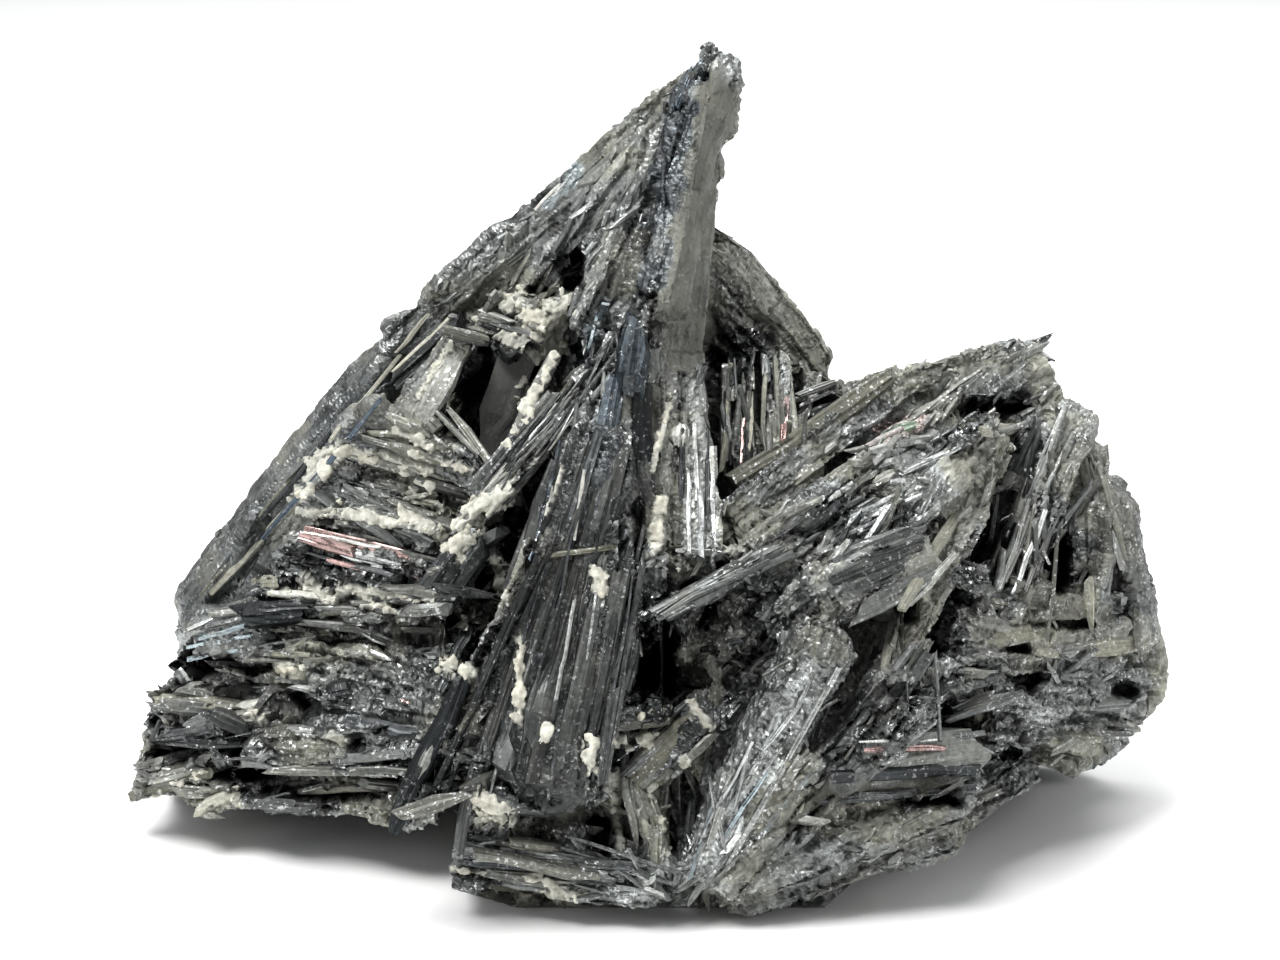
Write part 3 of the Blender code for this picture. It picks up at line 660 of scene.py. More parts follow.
def core_part(name, low, high, voxel):
    """The part of the solid inside a box, as an even mesh whose cut faces and flat base are coarser."""
    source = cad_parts[NODE]
    mesh = bmesh.new()
    mesh.from_mesh(source.data)
    bmesh.ops.remove_doubles(mesh, verts=mesh.verts, dist=1e-6)
    data = bpy.data.meshes.new(name)
    mesh.to_mesh(data)
    mesh.free()
    body = bpy.data.objects.new(name, data)
    bpy.context.scene.collection.objects.link(body)
    mesh = bmesh.new()
    bmesh.ops.create_cube(mesh, size=1.0)
    for vert in mesh.verts:
        vert.co = Vector([(low[k] if vert.co[k] < 0 else high[k]) * MM for k in range(3)])
    data = bpy.data.meshes.new("slice")
    mesh.to_mesh(data)
    mesh.free()
    knife = bpy.data.objects.new("slice", data)
    bpy.context.scene.collection.objects.link(knife)
    cut = body.modifiers.new("cut", "BOOLEAN")
    cut.operation, cut.solver, cut.object = "INTERSECT", "EXACT", knife
    remesh = body.modifiers.new("skin", "REMESH")
    remesh.mode = "VOXEL"
    remesh.voxel_size = voxel * MM
    even = body.modifiers.new("even", "SMOOTH")
    even.factor, even.iterations = 0.5, 3
    graph = bpy.context.evaluated_depsgraph_get()
    data = bpy.data.meshes.new_from_object(body.evaluated_get(graph))
    body.modifiers.clear()
    body.data = data
    bpy.data.objects.remove(knife)
    # thin out what stays inside or underneath
    points, _ = arrays(data)
    hidden = points[:, 2] < 0.2
    for k in range(3):
        for edge, sign in ((low[k], 1), (high[k], -1)):
            hidden |= (points[:, k] - edge) * sign < 0.45 * voxel
    group = body.vertex_groups.new(name="hidden")
    group.add(np.flatnonzero(hidden).tolist(), 1.0, "REPLACE")
    thin = body.modifiers.new("thin", "DECIMATE")
    thin.vertex_group, thin.vertex_group_factor = "hidden", 1000.0
    thin.ratio = 1.0 - 0.93 * hidden.mean()
    graph = bpy.context.evaluated_depsgraph_get()
    data = bpy.data.meshes.new_from_object(body.evaluated_get(graph))
    body.modifiers.clear()
    body.vertex_groups.clear()
    body.data = data
    return body


def arrays(data):
    n = len(data.vertices)
    points, normals = np.zeros(n * 3, np.float32), np.zeros(n * 3, np.float32)
    data.vertices.foreach_get("co", points)
    data.vertices.foreach_get("normal", normals)
    return points.reshape(-1, 3).astype(float) / MM, normals.reshape(-1, 3).astype(float)


FLATS = np.array([r["flat"] for r in AXES])


def smoothness(points, seen):
    """0 on granular skin, 1 on the smooth crystal faces."""
    u, v = drawn(points)
    smooth = np.zeros(len(points))
    for u0, v0, u1, v1, half, share in SMOOTH:
        gap = near_line(u, v, u0, v0, u1, v1)
        smooth = np.maximum(smooth, np.clip((half - gap) / (0.3 * half), 0, 1) * (1 - share))
    smooth = smooth * seen
    return np.maximum(smooth, (1 - seen) * np.clip(0.3 + 1.2 * clouds(points * 0.07, 11), 0, 0.8))


def rough_core(body, low, high):
    """Pushes the skin in and out: plates with tilted tops and cracks between them, along the crystals, and grains."""
    data = body.data
    points, normals = arrays(data)
    toward = unit(EYE - points)
    seen = np.clip(((normals * toward).sum(-1) + 0.15) / 0.25, 0, 1) * (points[:, 1] < 24)
    which, _, _ = nearest_bundle(points)
    way, flat = SEG_D[which], FLATS[which]
    s = (points * np.cross(way, flat)).sum(-1)
    d = (points * flat).sum(-1)
    l = ((points - SEG_A[which]) * way).sum(-1) + which * 37.0
    smooth = smoothness(points, seen)
    coarse = 1 - 0.88 * smooth
    big, big_edge, big_off = cells(np.stack([s / 2.7, d / 2.7, l / 11.0], axis=1), 41)
    mid, mid_edge, mid_off = cells(np.stack([s / 1.0, d / 1.0, l / 4.6], axis=1), 42)
    bit, bit_edge, bit_off = cells(points / 0.80, 43)
    grain = np.clip(0.45 + 1.8 * clouds(points * 0.12, 26), 0.1, 1) * coarse

    def plate(key, off, tilt):
        return 2 * chance(key, 1) - 1 + tilt * ((chance(key, 2) - .5) * off[:, 0] + (chance(key, 3) - .5) * off[:, 2])
    u, v = drawn(points)
    more = np.ones(len(points))
    for u0, v0, u1, v1, half, times in ROUGHER:
        gap = near_line(u, v, u0, v0, u1, v1)
        more = np.maximum(more, 1 + (times - 1) * np.clip((half - gap) / (0.4 * half), 0, 1) * seen)
    even = np.zeros(len(points))
    for u0, v0, u1, v1, half, share in GRANULAR:
        gap = near_line(u, v, u0, v0, u1, v1)
        even = np.maximum(even, share * np.clip((half - gap) / (0.4 * half), 0, 1) * seen)
    coarse = coarse * more * (1 - even)
    grain = np.maximum(grain, 1.15 * even)
    crust = crusted_share(points, u, v) * seen
    coarse, grain = coarse * (1 - 0.6 * crust), grain * (1 - 0.7 * crust)
    swell = np.zeros(len(points))
    for u0, v0, u1, v1, half, rise in SWELL:
        gap = near_line(u, v, u0, v0, u1, v1)
        swell = np.maximum(swell, rise * np.clip((half - gap) / (0.7 * half), 0, 1))
    push = swell - 0.40 + 0.55 * coarse * plate(big, big_off, 2.6) + (0.05 + 0.27 * coarse) * plate(mid, mid_off, 2.6)
    push = push + 0.20 * grain * plate(bit, bit_off, 2.6)
    push = push - 0.75 * coarse * np.clip(1 - big_edge / 0.13, 0, 1) - 0.25 * coarse * np.clip(1 - mid_edge / 0.16, 0, 1)
    push = push + 0.45 * coarse * clouds(points * 0.16, 29) + 0.07 * clouds(np.stack([s * 2.0, d * 2.0, l * .2], axis=1), 23)
    push = push + crust * (0.34 + 0.14 * clouds(points * 1.7, 33))
    still = points[:, 2] < 0.35
    for k in range(3):
        still |= (points[:, k] < low[k] + 0.4) | (points[:, k] > high[k] - 0.4)
    push[still] = np.where(points[still, 2] < 0.35, 0.0, -0.4)
    deep = pit_depth(u, v, points) * seen * ~still
    moved = points + normals * push[:, None] + AHEAD * deep[:, None]
    # behind the spire's smooth face the right edge is drawn in
    hollow = np.clip((v - 138) / 24, 0, 1) * np.clip((250 - v) / 24, 0, 1) * np.clip((points[:, 1] - 2.5) / 2.5, 0, 1)
    moved[:, 0] -= 2.0 * hollow * np.clip((u - 684) / 40, 0, 1) * (u < 760) * (points[:, 1] < 24)
    moved[:, 2] = np.maximum(moved[:, 2], np.where(points[:, 2] < 0.35, 0.0, 0.1))
    data.vertices.foreach_set("co", (moved * MM).astype(np.float32).reshape(-1))
    data.update()
    data.shade_flat()
    coarse = np.minimum(np.maximum(coarse, even), 1.0)
    tint, fin = ground(points, seen, crusted=True)
    tone = (0.62 + 0.76 * chance(big, 4)) * (0.70 + 0.60 * chance(mid, 4)) * (1 + grain * (chance(bit, 4) - .5) * 0.9)
    tone = 1 + (tone - 1) * (0.25 + 0.75 * coarse)
    # painted shade: where the skin is pushed in, in the cracks between plates and in the pits, the colour is darkened,
    # the finish rougher and the glints fewer
    hollow = np.clip(-(push + 0.35) * 0.75, 0, .7) + np.clip(deep / 4, 0, .9)
    tint = tint * (tone * (1 - np.clip(hollow, 0, .92)))[:, None]
    fin[:, 0] = np.clip(fin[:, 0] + 0.16 * (chance(mid, 5) - .5) + 0.25 * np.clip(hollow, 0, 1), 0, 1)
    fin[:, 2] = np.clip(coarse * (0.6 + 0.4 * grain), 0, 1) * np.clip(1 - hollow, 0, 1)
    paint(data, tint, fin, np.stack([s, l, d], axis=1))
    return seen


# ---- where the skin is smooth crystal, fewer small blades lie on it --------
SMOOTH = [  # u0, v0, u1, v1, half width in drawing units, share of roughness kept
    (708, 100, 695, 200, 30, .06), (693, 197, 687, 340, 34, .04), (650, 120, 560, 300, 70, .62), (440, 330, 200, 610, 34, .15), (655, 370, 648, 520, 24, .12),
    (590, 470, 540, 760, 46, .15), (620, 400, 590, 500, 20, .15), (600, 640, 560, 800, 30, .15),
    (840, 785, 975, 770, 16, .10), (866, 750, 950, 746, 8, .0), (925, 545, 845, 585, 20, .15),
    (184, 655, 248, 625, 24, .25), (505, 365, 500, 450, 26, .0), (455, 350, 405, 425, 24, .05), (380, 430, 490, 490, 18, .2),
    (700, 380, 695, 540, 20, .35), (640, 775, 705, 715, 22, .15), (470, 545, 430, 600, 10, .2),
    (740, 510, 900, 380, 16, .3), (980, 590, 1080, 603, 14, .35), (360, 505, 400, 530, 20, .3),
    (640, 170, 560, 300, 26, .45), (580, 180, 440, 320, 16, .4), (960, 470, 890, 620, 16, .4), (1092, 470, 1136, 580, 34, .55), (1046, 350, 1080, 440, 34, .55), (890, 392, 1030, 352, 26, .6), (1090, 640, 1150, 640, 40, .5),
]
ROUGHER = [  # u0, v0, u1, v1, half width, times the relief
    (180, 700, 420, 700, 90, 1.7), (150, 780, 420, 800, 40, 1.6), (330, 560, 450, 600, 60, 1.5), (340, 470, 460, 520, 50, 1.3),
    (460, 865, 640, 880, 36, 1.4), (980, 690, 1130, 690, 50, 1.2), (740, 600, 830, 620, 60, 1.3), (640, 770, 700, 840, 50, 1.3),
]
GRANULAR = [  # u0, v0, u1, v1, half width, share of the plates' relief taken away
    (690, 890, 820, 670, 60, .80), (730, 895, 920, 830, 40, .6), (930, 850, 1080, 770, 40, .5), (720, 610, 840, 620, 55, .5),
    (890, 440, 950, 500, 44, .6), (1090, 620, 1150, 650, 50, .6), (985, 640, 1040, 650, 30, .7), (340, 700, 410, 700, 46, .7),
    (270, 720, 300, 760, 36, .4), (580, 870, 690, 900, 40, .5), (1010, 360, 1050, 400, 40, .6), (1040, 400, 1090, 480, 40, .5),
    (745, 260, 820, 350, 44, .5), (480, 240, 440, 300, 40, .5), (960, 480, 900, 640, 34, .5), (820, 470, 760, 520, 40, .4),
    (890, 392, 1040, 350, 34, .75), (1060, 700, 1140, 710, 40, .4), (1092, 470, 1136, 580, 34, .7), (1046, 360, 1076, 430, 34, .6),
]
SWELL = [  # u0, v0, u1, v1, half width, rise in mm
    (175, 600, 376, 350, 46, 1.9), (1135, 740, 1075, 762, 34, 2.6), (724, 66, 730, 125, 18, 1.2), (430, 285, 500, 240, 26, 1.1), (1125, 520, 1160, 640, 44, 1.7), (1160, 640, 1150, 730, 44, 1.9),
    (1040, 345, 1090, 440, 24, .8), (135, 780, 150, 700, 24, .7),
]
# painted shade and painted highlights, mixed with the mineral's own darker and lighter tones: darker in hollows,
# cavities and along the spine, lighter on faces that catch the light, such as the fan streak, the silver patch right of
# centre and the slope behind the saddle
PAINTED_SHADE_AND_HIGHLIGHT = [  # u0, v0, u1, v1, half width, times the colour
    (640, 380, 640, 520, 26, .40), (610, 560, 560, 800, 34, .45), (570, 480, 510, 780, 44, .58), (520, 500, 440, 800, 20, .60),
    (480, 400, 500, 450, 34, .75), (660, 640, 668, 720, 26, .25), (700, 590, 830, 640, 50, .80), (1000, 560, 1070, 560, 40, .55),
    (150, 740, 420, 700, 40, .70), (170, 800, 420, 800, 14, .80), (300, 610, 460, 600, 30, .75), (560, 260, 470, 320, 22, .75),
    (640, 215, 650, 300, 12, .55), (690, 76, 684, 110, 12, .6), (640, 170, 600, 290, 40, 1.15), (720, 420, 740, 470, 20, .60), (690, 100, 680, 150, 10, .7), (900, 560, 850, 590, 26, .6),
    (840, 790, 970, 780, 22, .60), (860, 710, 940, 690, 20, .65), (970, 410, 1030, 400, 14, .6), (230, 640, 300, 610, 26, .6),
    (640, 150, 560, 200, 20, 1.25), (600, 190, 520, 260, 26, 1.15), (706, 105, 695, 200, 34, .73), (693, 200, 687, 342, 36, .73), (460, 350, 420, 400, 30, 1.3),
    (900, 430, 950, 480, 34, 1.35), (820, 670, 700, 860, 20, 1.45), (746, 250, 812, 336, 34, 1.7), (580, 190, 470, 290, 30, 1.2), (720, 430, 700, 540, 20, 1.30), (980, 640, 1030, 640, 22, 1.25),
    (1090, 630, 1140, 640, 24, 1.25), (960, 520, 890, 640, 22, 1.25), (400, 680, 360, 720, 36, 1.15), (186, 650, 240, 634, 20, 1.25), (340, 440, 220, 590, 20, 1.2),
    (660, 900, 620, 880, 24, 1.5), (1040, 345, 1030, 360, 14, 1.4), (600, 520, 630, 380, 14, 1.3), (470, 862, 690, 896, 32, 1.22),
]
# the near-black "N" coats are painted shade in pits, cracks and gaps; the bright "S" coats on the fan streak and the
# patch right of centre are silver faces partly lifted into painted highlights; the others are the mineral's own colours
COATS_AND_PAINTED_LIGHT = [  # u0, v0, u1, v1, half width, finish, share
    (706, 110, 695, 200, 34, "B", .8), (694, 197, 687, 338, 37, "B", .85), (560, 180, 470, 290, 20, "G", .4), (650, 150, 560, 330, 30, "S", .25),
    (440, 330, 200, 610, 34, "D", .6), (590, 470, 500, 790, 60, "D", .6), (620, 400, 600, 500, 26, "L", .25),
    (985, 470, 900, 640, 30, "P", .45), (1077, 625, 1150, 650, 30, "B", .6), (980, 620, 1034, 655, 22, "P", .4),
    (1000, 430, 970, 480, 26, "P", .35), (690, 915, 930, 850, 26, "R", .6), (813, 673, 700, 860, 24, "S", .85), (760, 700, 690, 880, 40, "S", .45),
    (870, 430, 930, 480, 34, "S", .85), (700, 440, 706, 550, 26, "S", .7), (640, 890, 680, 900, 30, "S", .6), (884, 432, 917, 422, 12, "I", .5), (720, 600, 800, 690, 50, "R", .6),
    (355, 690, 400, 690, 40, "R", .6), (184, 652, 246, 628, 24, "S", .85), (130, 790, 215, 800, 20, "P", .5),
    (160, 695, 226, 705, 18, "B", .6), (590, 330, 584, 368, 12, "L", .7), (689, 76, 677, 104, 10, "L", .7),
    (576, 171, 548, 202, 10, "C", .7), (560, 380, 485, 495, 22, "S", .4), (1080, 440, 1132, 570, 26, "G", .4),
    (640, 230, 646, 300, 12, "N", .4), (682, 100, 650, 280, 17, "L", .8), (694, 66, 684, 108, 15, "L", .9), (1021, 707, 1040, 720, 24, "S", .5), (740, 250, 820, 350, 44, "B", .7),
    (200, 660, 230, 670, 20, "N", .7), (660, 640, 672, 700, 24, "N", .9), (1035, 350, 900, 400, 20, "B", .4),
    (1000, 540, 1018, 575, 16, "N", .8), (1055, 540, 1066, 588, 12, "N", .8), (908, 801, 957, 796, 12, "N", .8),
    (974, 415, 1028, 396, 10, "N", .8), (482, 580, 486, 590, 14, "N", .9), (956, 465, 960, 470, 18, "P", .6),
    (860, 412, 890, 408, 12, "D", .7), (500, 360, 505, 450, 40, "N", .7), (562, 262, 575, 285, 12, "N", .8),
]


def least_margin(a, b):
    return np.min([margin(*drawn(a + (b - a) * l)) for l in (0, .25, .5, .75, 1)], axis=0)


def held(skin, a, b, reach=3.5):
    """Which blades rest on the cores: two points of five near or in them, and no end far out."""
    gaps = np.sort([skin.gap(a + (b - a) * l) for l in (0.02, .25, .5, .75, .98)], axis=0)
    return (gaps[1] < 0.5) & (gaps[4] < reach)


def place_blades(heap, skin, base, normal, way, length, width, thick, letters, seen, lift, tip=0.5, blend=0.5, relief=0.10,
                 inset=2.0, shape=FINE, rings=3):
    """Small blades centred on skin points; none sticks out past the outline of the front view."""
    start = base - way * (length * tip)[:, None] + normal * (lift * thick)[:, None]
    end = start + way * length[:, None]
    for trial in (0.6, 0.5):
        bad = least_margin(start, end) < inset + 0.25 * width * SCALE
        shrink = np.where(bad, trial, 1.0)[:, None]
        centre = 0.5 * (start + end)
        start, end = centre + (start - centre) * shrink, centre + (end - centre) * shrink
    live = (least_margin(start, end) > inset - 1.5) & held(skin, start, end)
    start, end, way, normal, width, thick = (x[live] for x in (start, end, way, normal, width, thick))
    letters = [letter for letter, k in zip(letters, live) if k]
    seen = seen[live]
    face = unit(normal - way * (way * normal).sum(-1, keepdims=True))
    side = np.cross(way, face)
    roll = np.radians(RNG.normal(0, 16, len(way)))[:, None]
    face, side = face * np.cos(roll) + side * np.sin(roll), side * np.cos(roll) - face * np.sin(roll)
    blades(heap, start, end, side, face, width, thick, letters, shape=shape, rings=rings, bend=0.012, ragged=0.7,
           relief=relief, seen=seen, blend=blend)


def scatter(heap_front, heap_back, solid, body, seen_at, count, low, high):
    """Small broken blades that lie in the skin, along the crystals below them."""
    data = body.data
    points, _ = arrays(data)
    data.calc_loop_triangles()
    tris = np.zeros(len(data.loop_triangles) * 3, np.int32)
    data.loop_triangles.foreach_get("vertices", tris)
    tris = tris.reshape(-1, 3)
    corner = points[tris]
    cross = np.cross(corner[:, 1] - corner[:, 0], corner[:, 2] - corner[:, 0])
    weight = np.linalg.norm(cross, axis=1)
    out = unit(cross)
    middle = corner.mean(1)
    weight[(out[:, 2] < -0.7) & (middle[:, 2] < 1.2)] = 0.0
    for k in range(3):
        weight[(middle[:, k] < low[k] + 1.0) | (middle[:, k] > high[k] - 1.0)] = 0.0
    chosen = RNG.choice(len(tris), count, p=weight / weight.sum())
    mix = RNG.dirichlet((1, 1, 1), count)
    base = (corner[chosen] * mix[..., None]).sum(1)
    normal = out[chosen]
    seen = seen_at[tris[chosen]].mean(1)
    keep = 1 - 0.95 * smoothness(base, seen)
    letters = np.array(list("RRGGDSR"))[RNG.integers(0, 7, count)]
    granular = clouds(base * 0.12, 26) > 0.0
    live = (RNG.random(count) < keep) & ~in_pit(*drawn(base))
    base, normal, letters, seen, granular = (x[live] for x in (base, normal, letters, seen, granular))
    which, _, _ = nearest_bundle(base)
    n = len(base)
    way = SEG_D[which] * RNG.choice([-1.0, 1.0], n)[:, None]
    way = unit(way + RNG.normal(0, 1, (n, 3)) * np.where(granular, 0.45, 0.14)[:, None])
    way = unit(way - 0.92 * normal * (way * normal).sum(-1, keepdims=True))
    way = unit(way + normal * np.where(granular, RNG.uniform(-.1, .35, n), RNG.uniform(-.03, .10, n))[:, None])
    length = (np.where(granular, 1.3, 3.4) * np.exp(RNG.normal(0, .5, n))).clip(.6, 10)
    width = np.where(granular, 0.75, 0.95) * np.exp(RNG.normal(0, .45, n))
    thick = width * RNG.uniform(.35, .7, n)
    for heap, part in ((heap_front, seen > 0.4), (heap_back, seen <= 0.4)):
        place_blades(heap, solid, base[part], normal[part], way[part], length[part], width[part], thick[part],
                     list(letters[part]), seen[part], RNG.uniform(-.5, .12, part.sum()), blend=0.75)


# ---- broken blades seen in places: outline, direction or centre, spread, count, lengths, widths, finishes, lift ----
RUBBLE = [
    ([(180, 690), (250, 650), (262, 760), (180, 800)], -2, 12, 8, (30, 70), (12, 24), "GGDDBPR", 0.55),
    ([(240, 770), (440, 760), (440, 820), (210, 825), (132, 800)], -3, 9, 12, (40, 110), (8, 18), "GGPBDDR", 0.55),
    ([(150, 690), (250, 650), (262, 760), (132, 800)], -2, 40, 14, (10, 30), (5, 14), "GGBPDDR", 0.45),
    ([(250, 590), (300, 530), (470, 560), (470, 640), (190, 650)], 5, 7, 12, (40, 90), (10, 18), "GGBDDR", 0.65),
    ([(250, 590), (300, 530), (470, 560), (470, 640), (190, 650)], 5, 12, 24, (20, 70), (5, 11), "GGBPDDR", 0.55),
    ([(300, 500), (370, 415), (495, 480), (470, 540), (330, 560)], 20, 8, 8, (50, 120), (10, 20), "BGDDB", 0.35),
    ([(300, 500), (370, 415), (495, 480), (470, 540), (330, 560)], 20, 10, 14, (24, 70), (4, 9), "GPDDB", 0.55),
    ([(560, 826), (700, 826), (740, 915), (560, 910)], (668, 905), 8, 30, (18, 60), (4, 10), "GSPDR", 0.25),
    ([(445, 836), (620, 850), (640, 905), (560, 910), (450, 888)], 6, 4, 12, (40, 130), (8, 18), "GGDPR", 0.45),
    ([(595, 730), (720, 720), (720, 850), (600, 850)], 72, 24, 22, (24, 70), (6, 14), "GDPBS", 0.45),
    ([(960, 650), (1168, 650), (1160, 740), (980, 800)], -10, 14, 14, (16, 60), (7, 18), "RRBGG", 0.25),
    ([(985, 470), (1080, 440), (1085, 590), (980, 580)], -68, 8, 26, (50, 120), (5, 12), "GDDDB", 0.30),
    ([(1080, 440), (1110, 470), (1132, 560), (1155, 640), (1085, 640)], (1080, 425), 7, 8, (30, 110), (6, 14), "GGRPB", -0.05),
    ([(722, 386), (822, 380), (812, 462), (730, 472)], 86, 6, 24, (26, 76), (4, 10), "BGDDB", 0.25),
    ([(700, 545), (830, 540), (850, 690), (700, 700)], 0, 90, 60, (5, 14), (5, 10), "RRRSDD", 0.15),
    ([(856, 440), (940, 425), (940, 500), (800, 560)], -30, 30, 50, (8, 24), (5, 12), "SSRRDL", 0.15),
    ([(690, 890), (720, 740), (815, 650), (840, 680), (780, 840)], (690, 900), 5, 22, (24, 100), (5, 12), "SSGRL", -0.10),
    ([(700, 915), (960, 845), (1100, 765), (1165, 700), (1000, 760), (800, 850)], -26, 18, 30, (8, 32), (5, 13), "RRGBG", 0.15),
    ([(700, 70), (676, 155), (650, 260), (640, 300), (560, 320), (600, 200)], 118, 8, 16, (14, 50), (5, 13), "RRGSD", -0.10),
    ([(640, 180), (480, 250), (390, 340), (560, 340), (640, 240)], 132, 9, 20, (24, 80), (6, 14), "GRDSB", 0.05),
    ([(560, 380), (600, 390), (520, 500), (474, 500)], 129, 5, 44, (50, 120), (3, 7), "SGDRP", 0.75),
    ([(600, 380), (700, 380), (690, 520), (600, 520)], 95, 9, 6, (20, 70), (5, 12), "GDRS", -0.10),
    ([(500, 560), (620, 540), (600, 800), (470, 800)], 104, 4, 6, (50, 160), (8, 20), "DDGD", -0.10),
    ([(820, 690), (1000, 650), (1000, 760), (840, 790)], -8, 12, 16, (24, 90), (6, 14), "GDSRB", 0.15),
    ([(740, 520), (920, 370), (1040, 340), (1050, 400), (830, 560)], -38, 9, 30, (16, 70), (5, 13), "GRSBR", 0.05),
    ([(820, 560), (1000, 440), (1000, 520), (860, 690)], -55, 10, 24, (20, 80), (6, 14), "GSRPB", 0.05),
    ([(530, 885), (640, 885), (640, 912), (540, 912)], 0, 60, 10, (8, 20), (5, 10), "RGB", 0.25),
    ([(716, 138), (730, 140), (728, 162), (716, 164)], 60, 60, 14, (6, 12), (5, 9), "RG", 0.35),
    ([(700, 40), (724, 42), (734, 70), (696, 72)], 60, 70, 8, (6, 13), (5, 9), "RRG", -0.20),
    ([(480, 226), (528, 226), (500, 262), (450, 275), (420, 330)], 130, 30, 24, (8, 24), (5, 10), "RGD", 0.25),
    ([(120, 780), (160, 690), (190, 640), (200, 660), (160, 790)], -20, 50, 30, (8, 24), (5, 12), "RGDP", 0.25),
]


CLEAR = [  # u0, v0, u1, v1, half width: no broken blades here
    (300, 538, 405, 566, 13), (500, 360, 495, 450, 34), (830, 786, 975, 772, 16), (862, 748, 950, 746, 8), (640, 320, 640, 500, 30), (712, 706, 632, 778, 24), (930, 548, 836, 592, 22), (930, 640, 846, 752, 10),
    (454, 344, 414, 424, 24), (560, 480, 520, 760, 44), (600, 520, 580, 780, 30), (694, 120, 686, 340, 34), (388, 378, 454, 318, 12),
    (186, 652, 248, 628, 16), (487, 806, 496, 812, 16), (664, 664, 668, 700, 24), (430, 335, 200, 600, 34),
]


def cleared(u, v):
    found = np.zeros(len(u), bool)
    for u0, v0, u1, v1, half in CLEAR:
        found |= near_line(u, v, u0, v0, u1, v1) < half
    return found


def rubble(heap, skin, solid):
    for outline, aim, spread, count, lengths, widths, letters, lift in RUBBLE:
        shape = np.array(outline, float)
        low, high = shape.min(0), shape.max(0)
        spots = RNG.uniform(low, high, (count * 8, 2))
        spots = spots[inside(spots[:, 0], spots[:, 1], shape)][:count]
        spots = spots[~cleared(spots[:, 0], spots[:, 1])]
        good, base, normal = skin.hits(spots[:, 0], spots[:, 1])
        spots, base, normal = spots[good], base[good], normal[good]
        n = len(base)
        if not n:
            continue
        normal = normal * np.sign((normal * (EYE - base)).sum(-1, keepdims=True))
        if isinstance(aim, tuple):
            angle = np.arctan2(spots[:, 1] - aim[1], spots[:, 0] - aim[0])
        else:
            angle = np.full(n, math.radians(aim))
        angle = angle + np.radians(RNG.normal(0, spread, n))
        flat = np.cos(angle)[:, None] * RIGHT - np.sin(angle)[:, None] * ABOVE
        tangent = unit(flat - normal * (flat * normal).sum(-1, keepdims=True))
        way = unit(flat * 0.55 + tangent * 0.45)
        size = np.linalg.norm(base - EYE, axis=1) / REACH / SCALE
        length = np.exp(RNG.uniform(math.log(lengths[0]), math.log(lengths[1]), n)) * size
        width = RNG.uniform(*widths, n) * size
        thick = width * RNG.uniform(.4, .85, n)
        face = unit(normal * 0.55 - AHEAD * 0.45 + RNG.normal(0, .28, (n, 3)))
        chosen = [letters[i] for i in RNG.integers(0, len(letters), n)]
        chunky = widths[1] >= 14
        place_blades(heap, solid, base, face, way, length, width, thick, chosen, np.ones(n), RNG.uniform(-.6, lift, n),
                     blend=0.6, relief=0.06, shape=WIDE if chunky else FINE, rings=4 if chunky else 3)


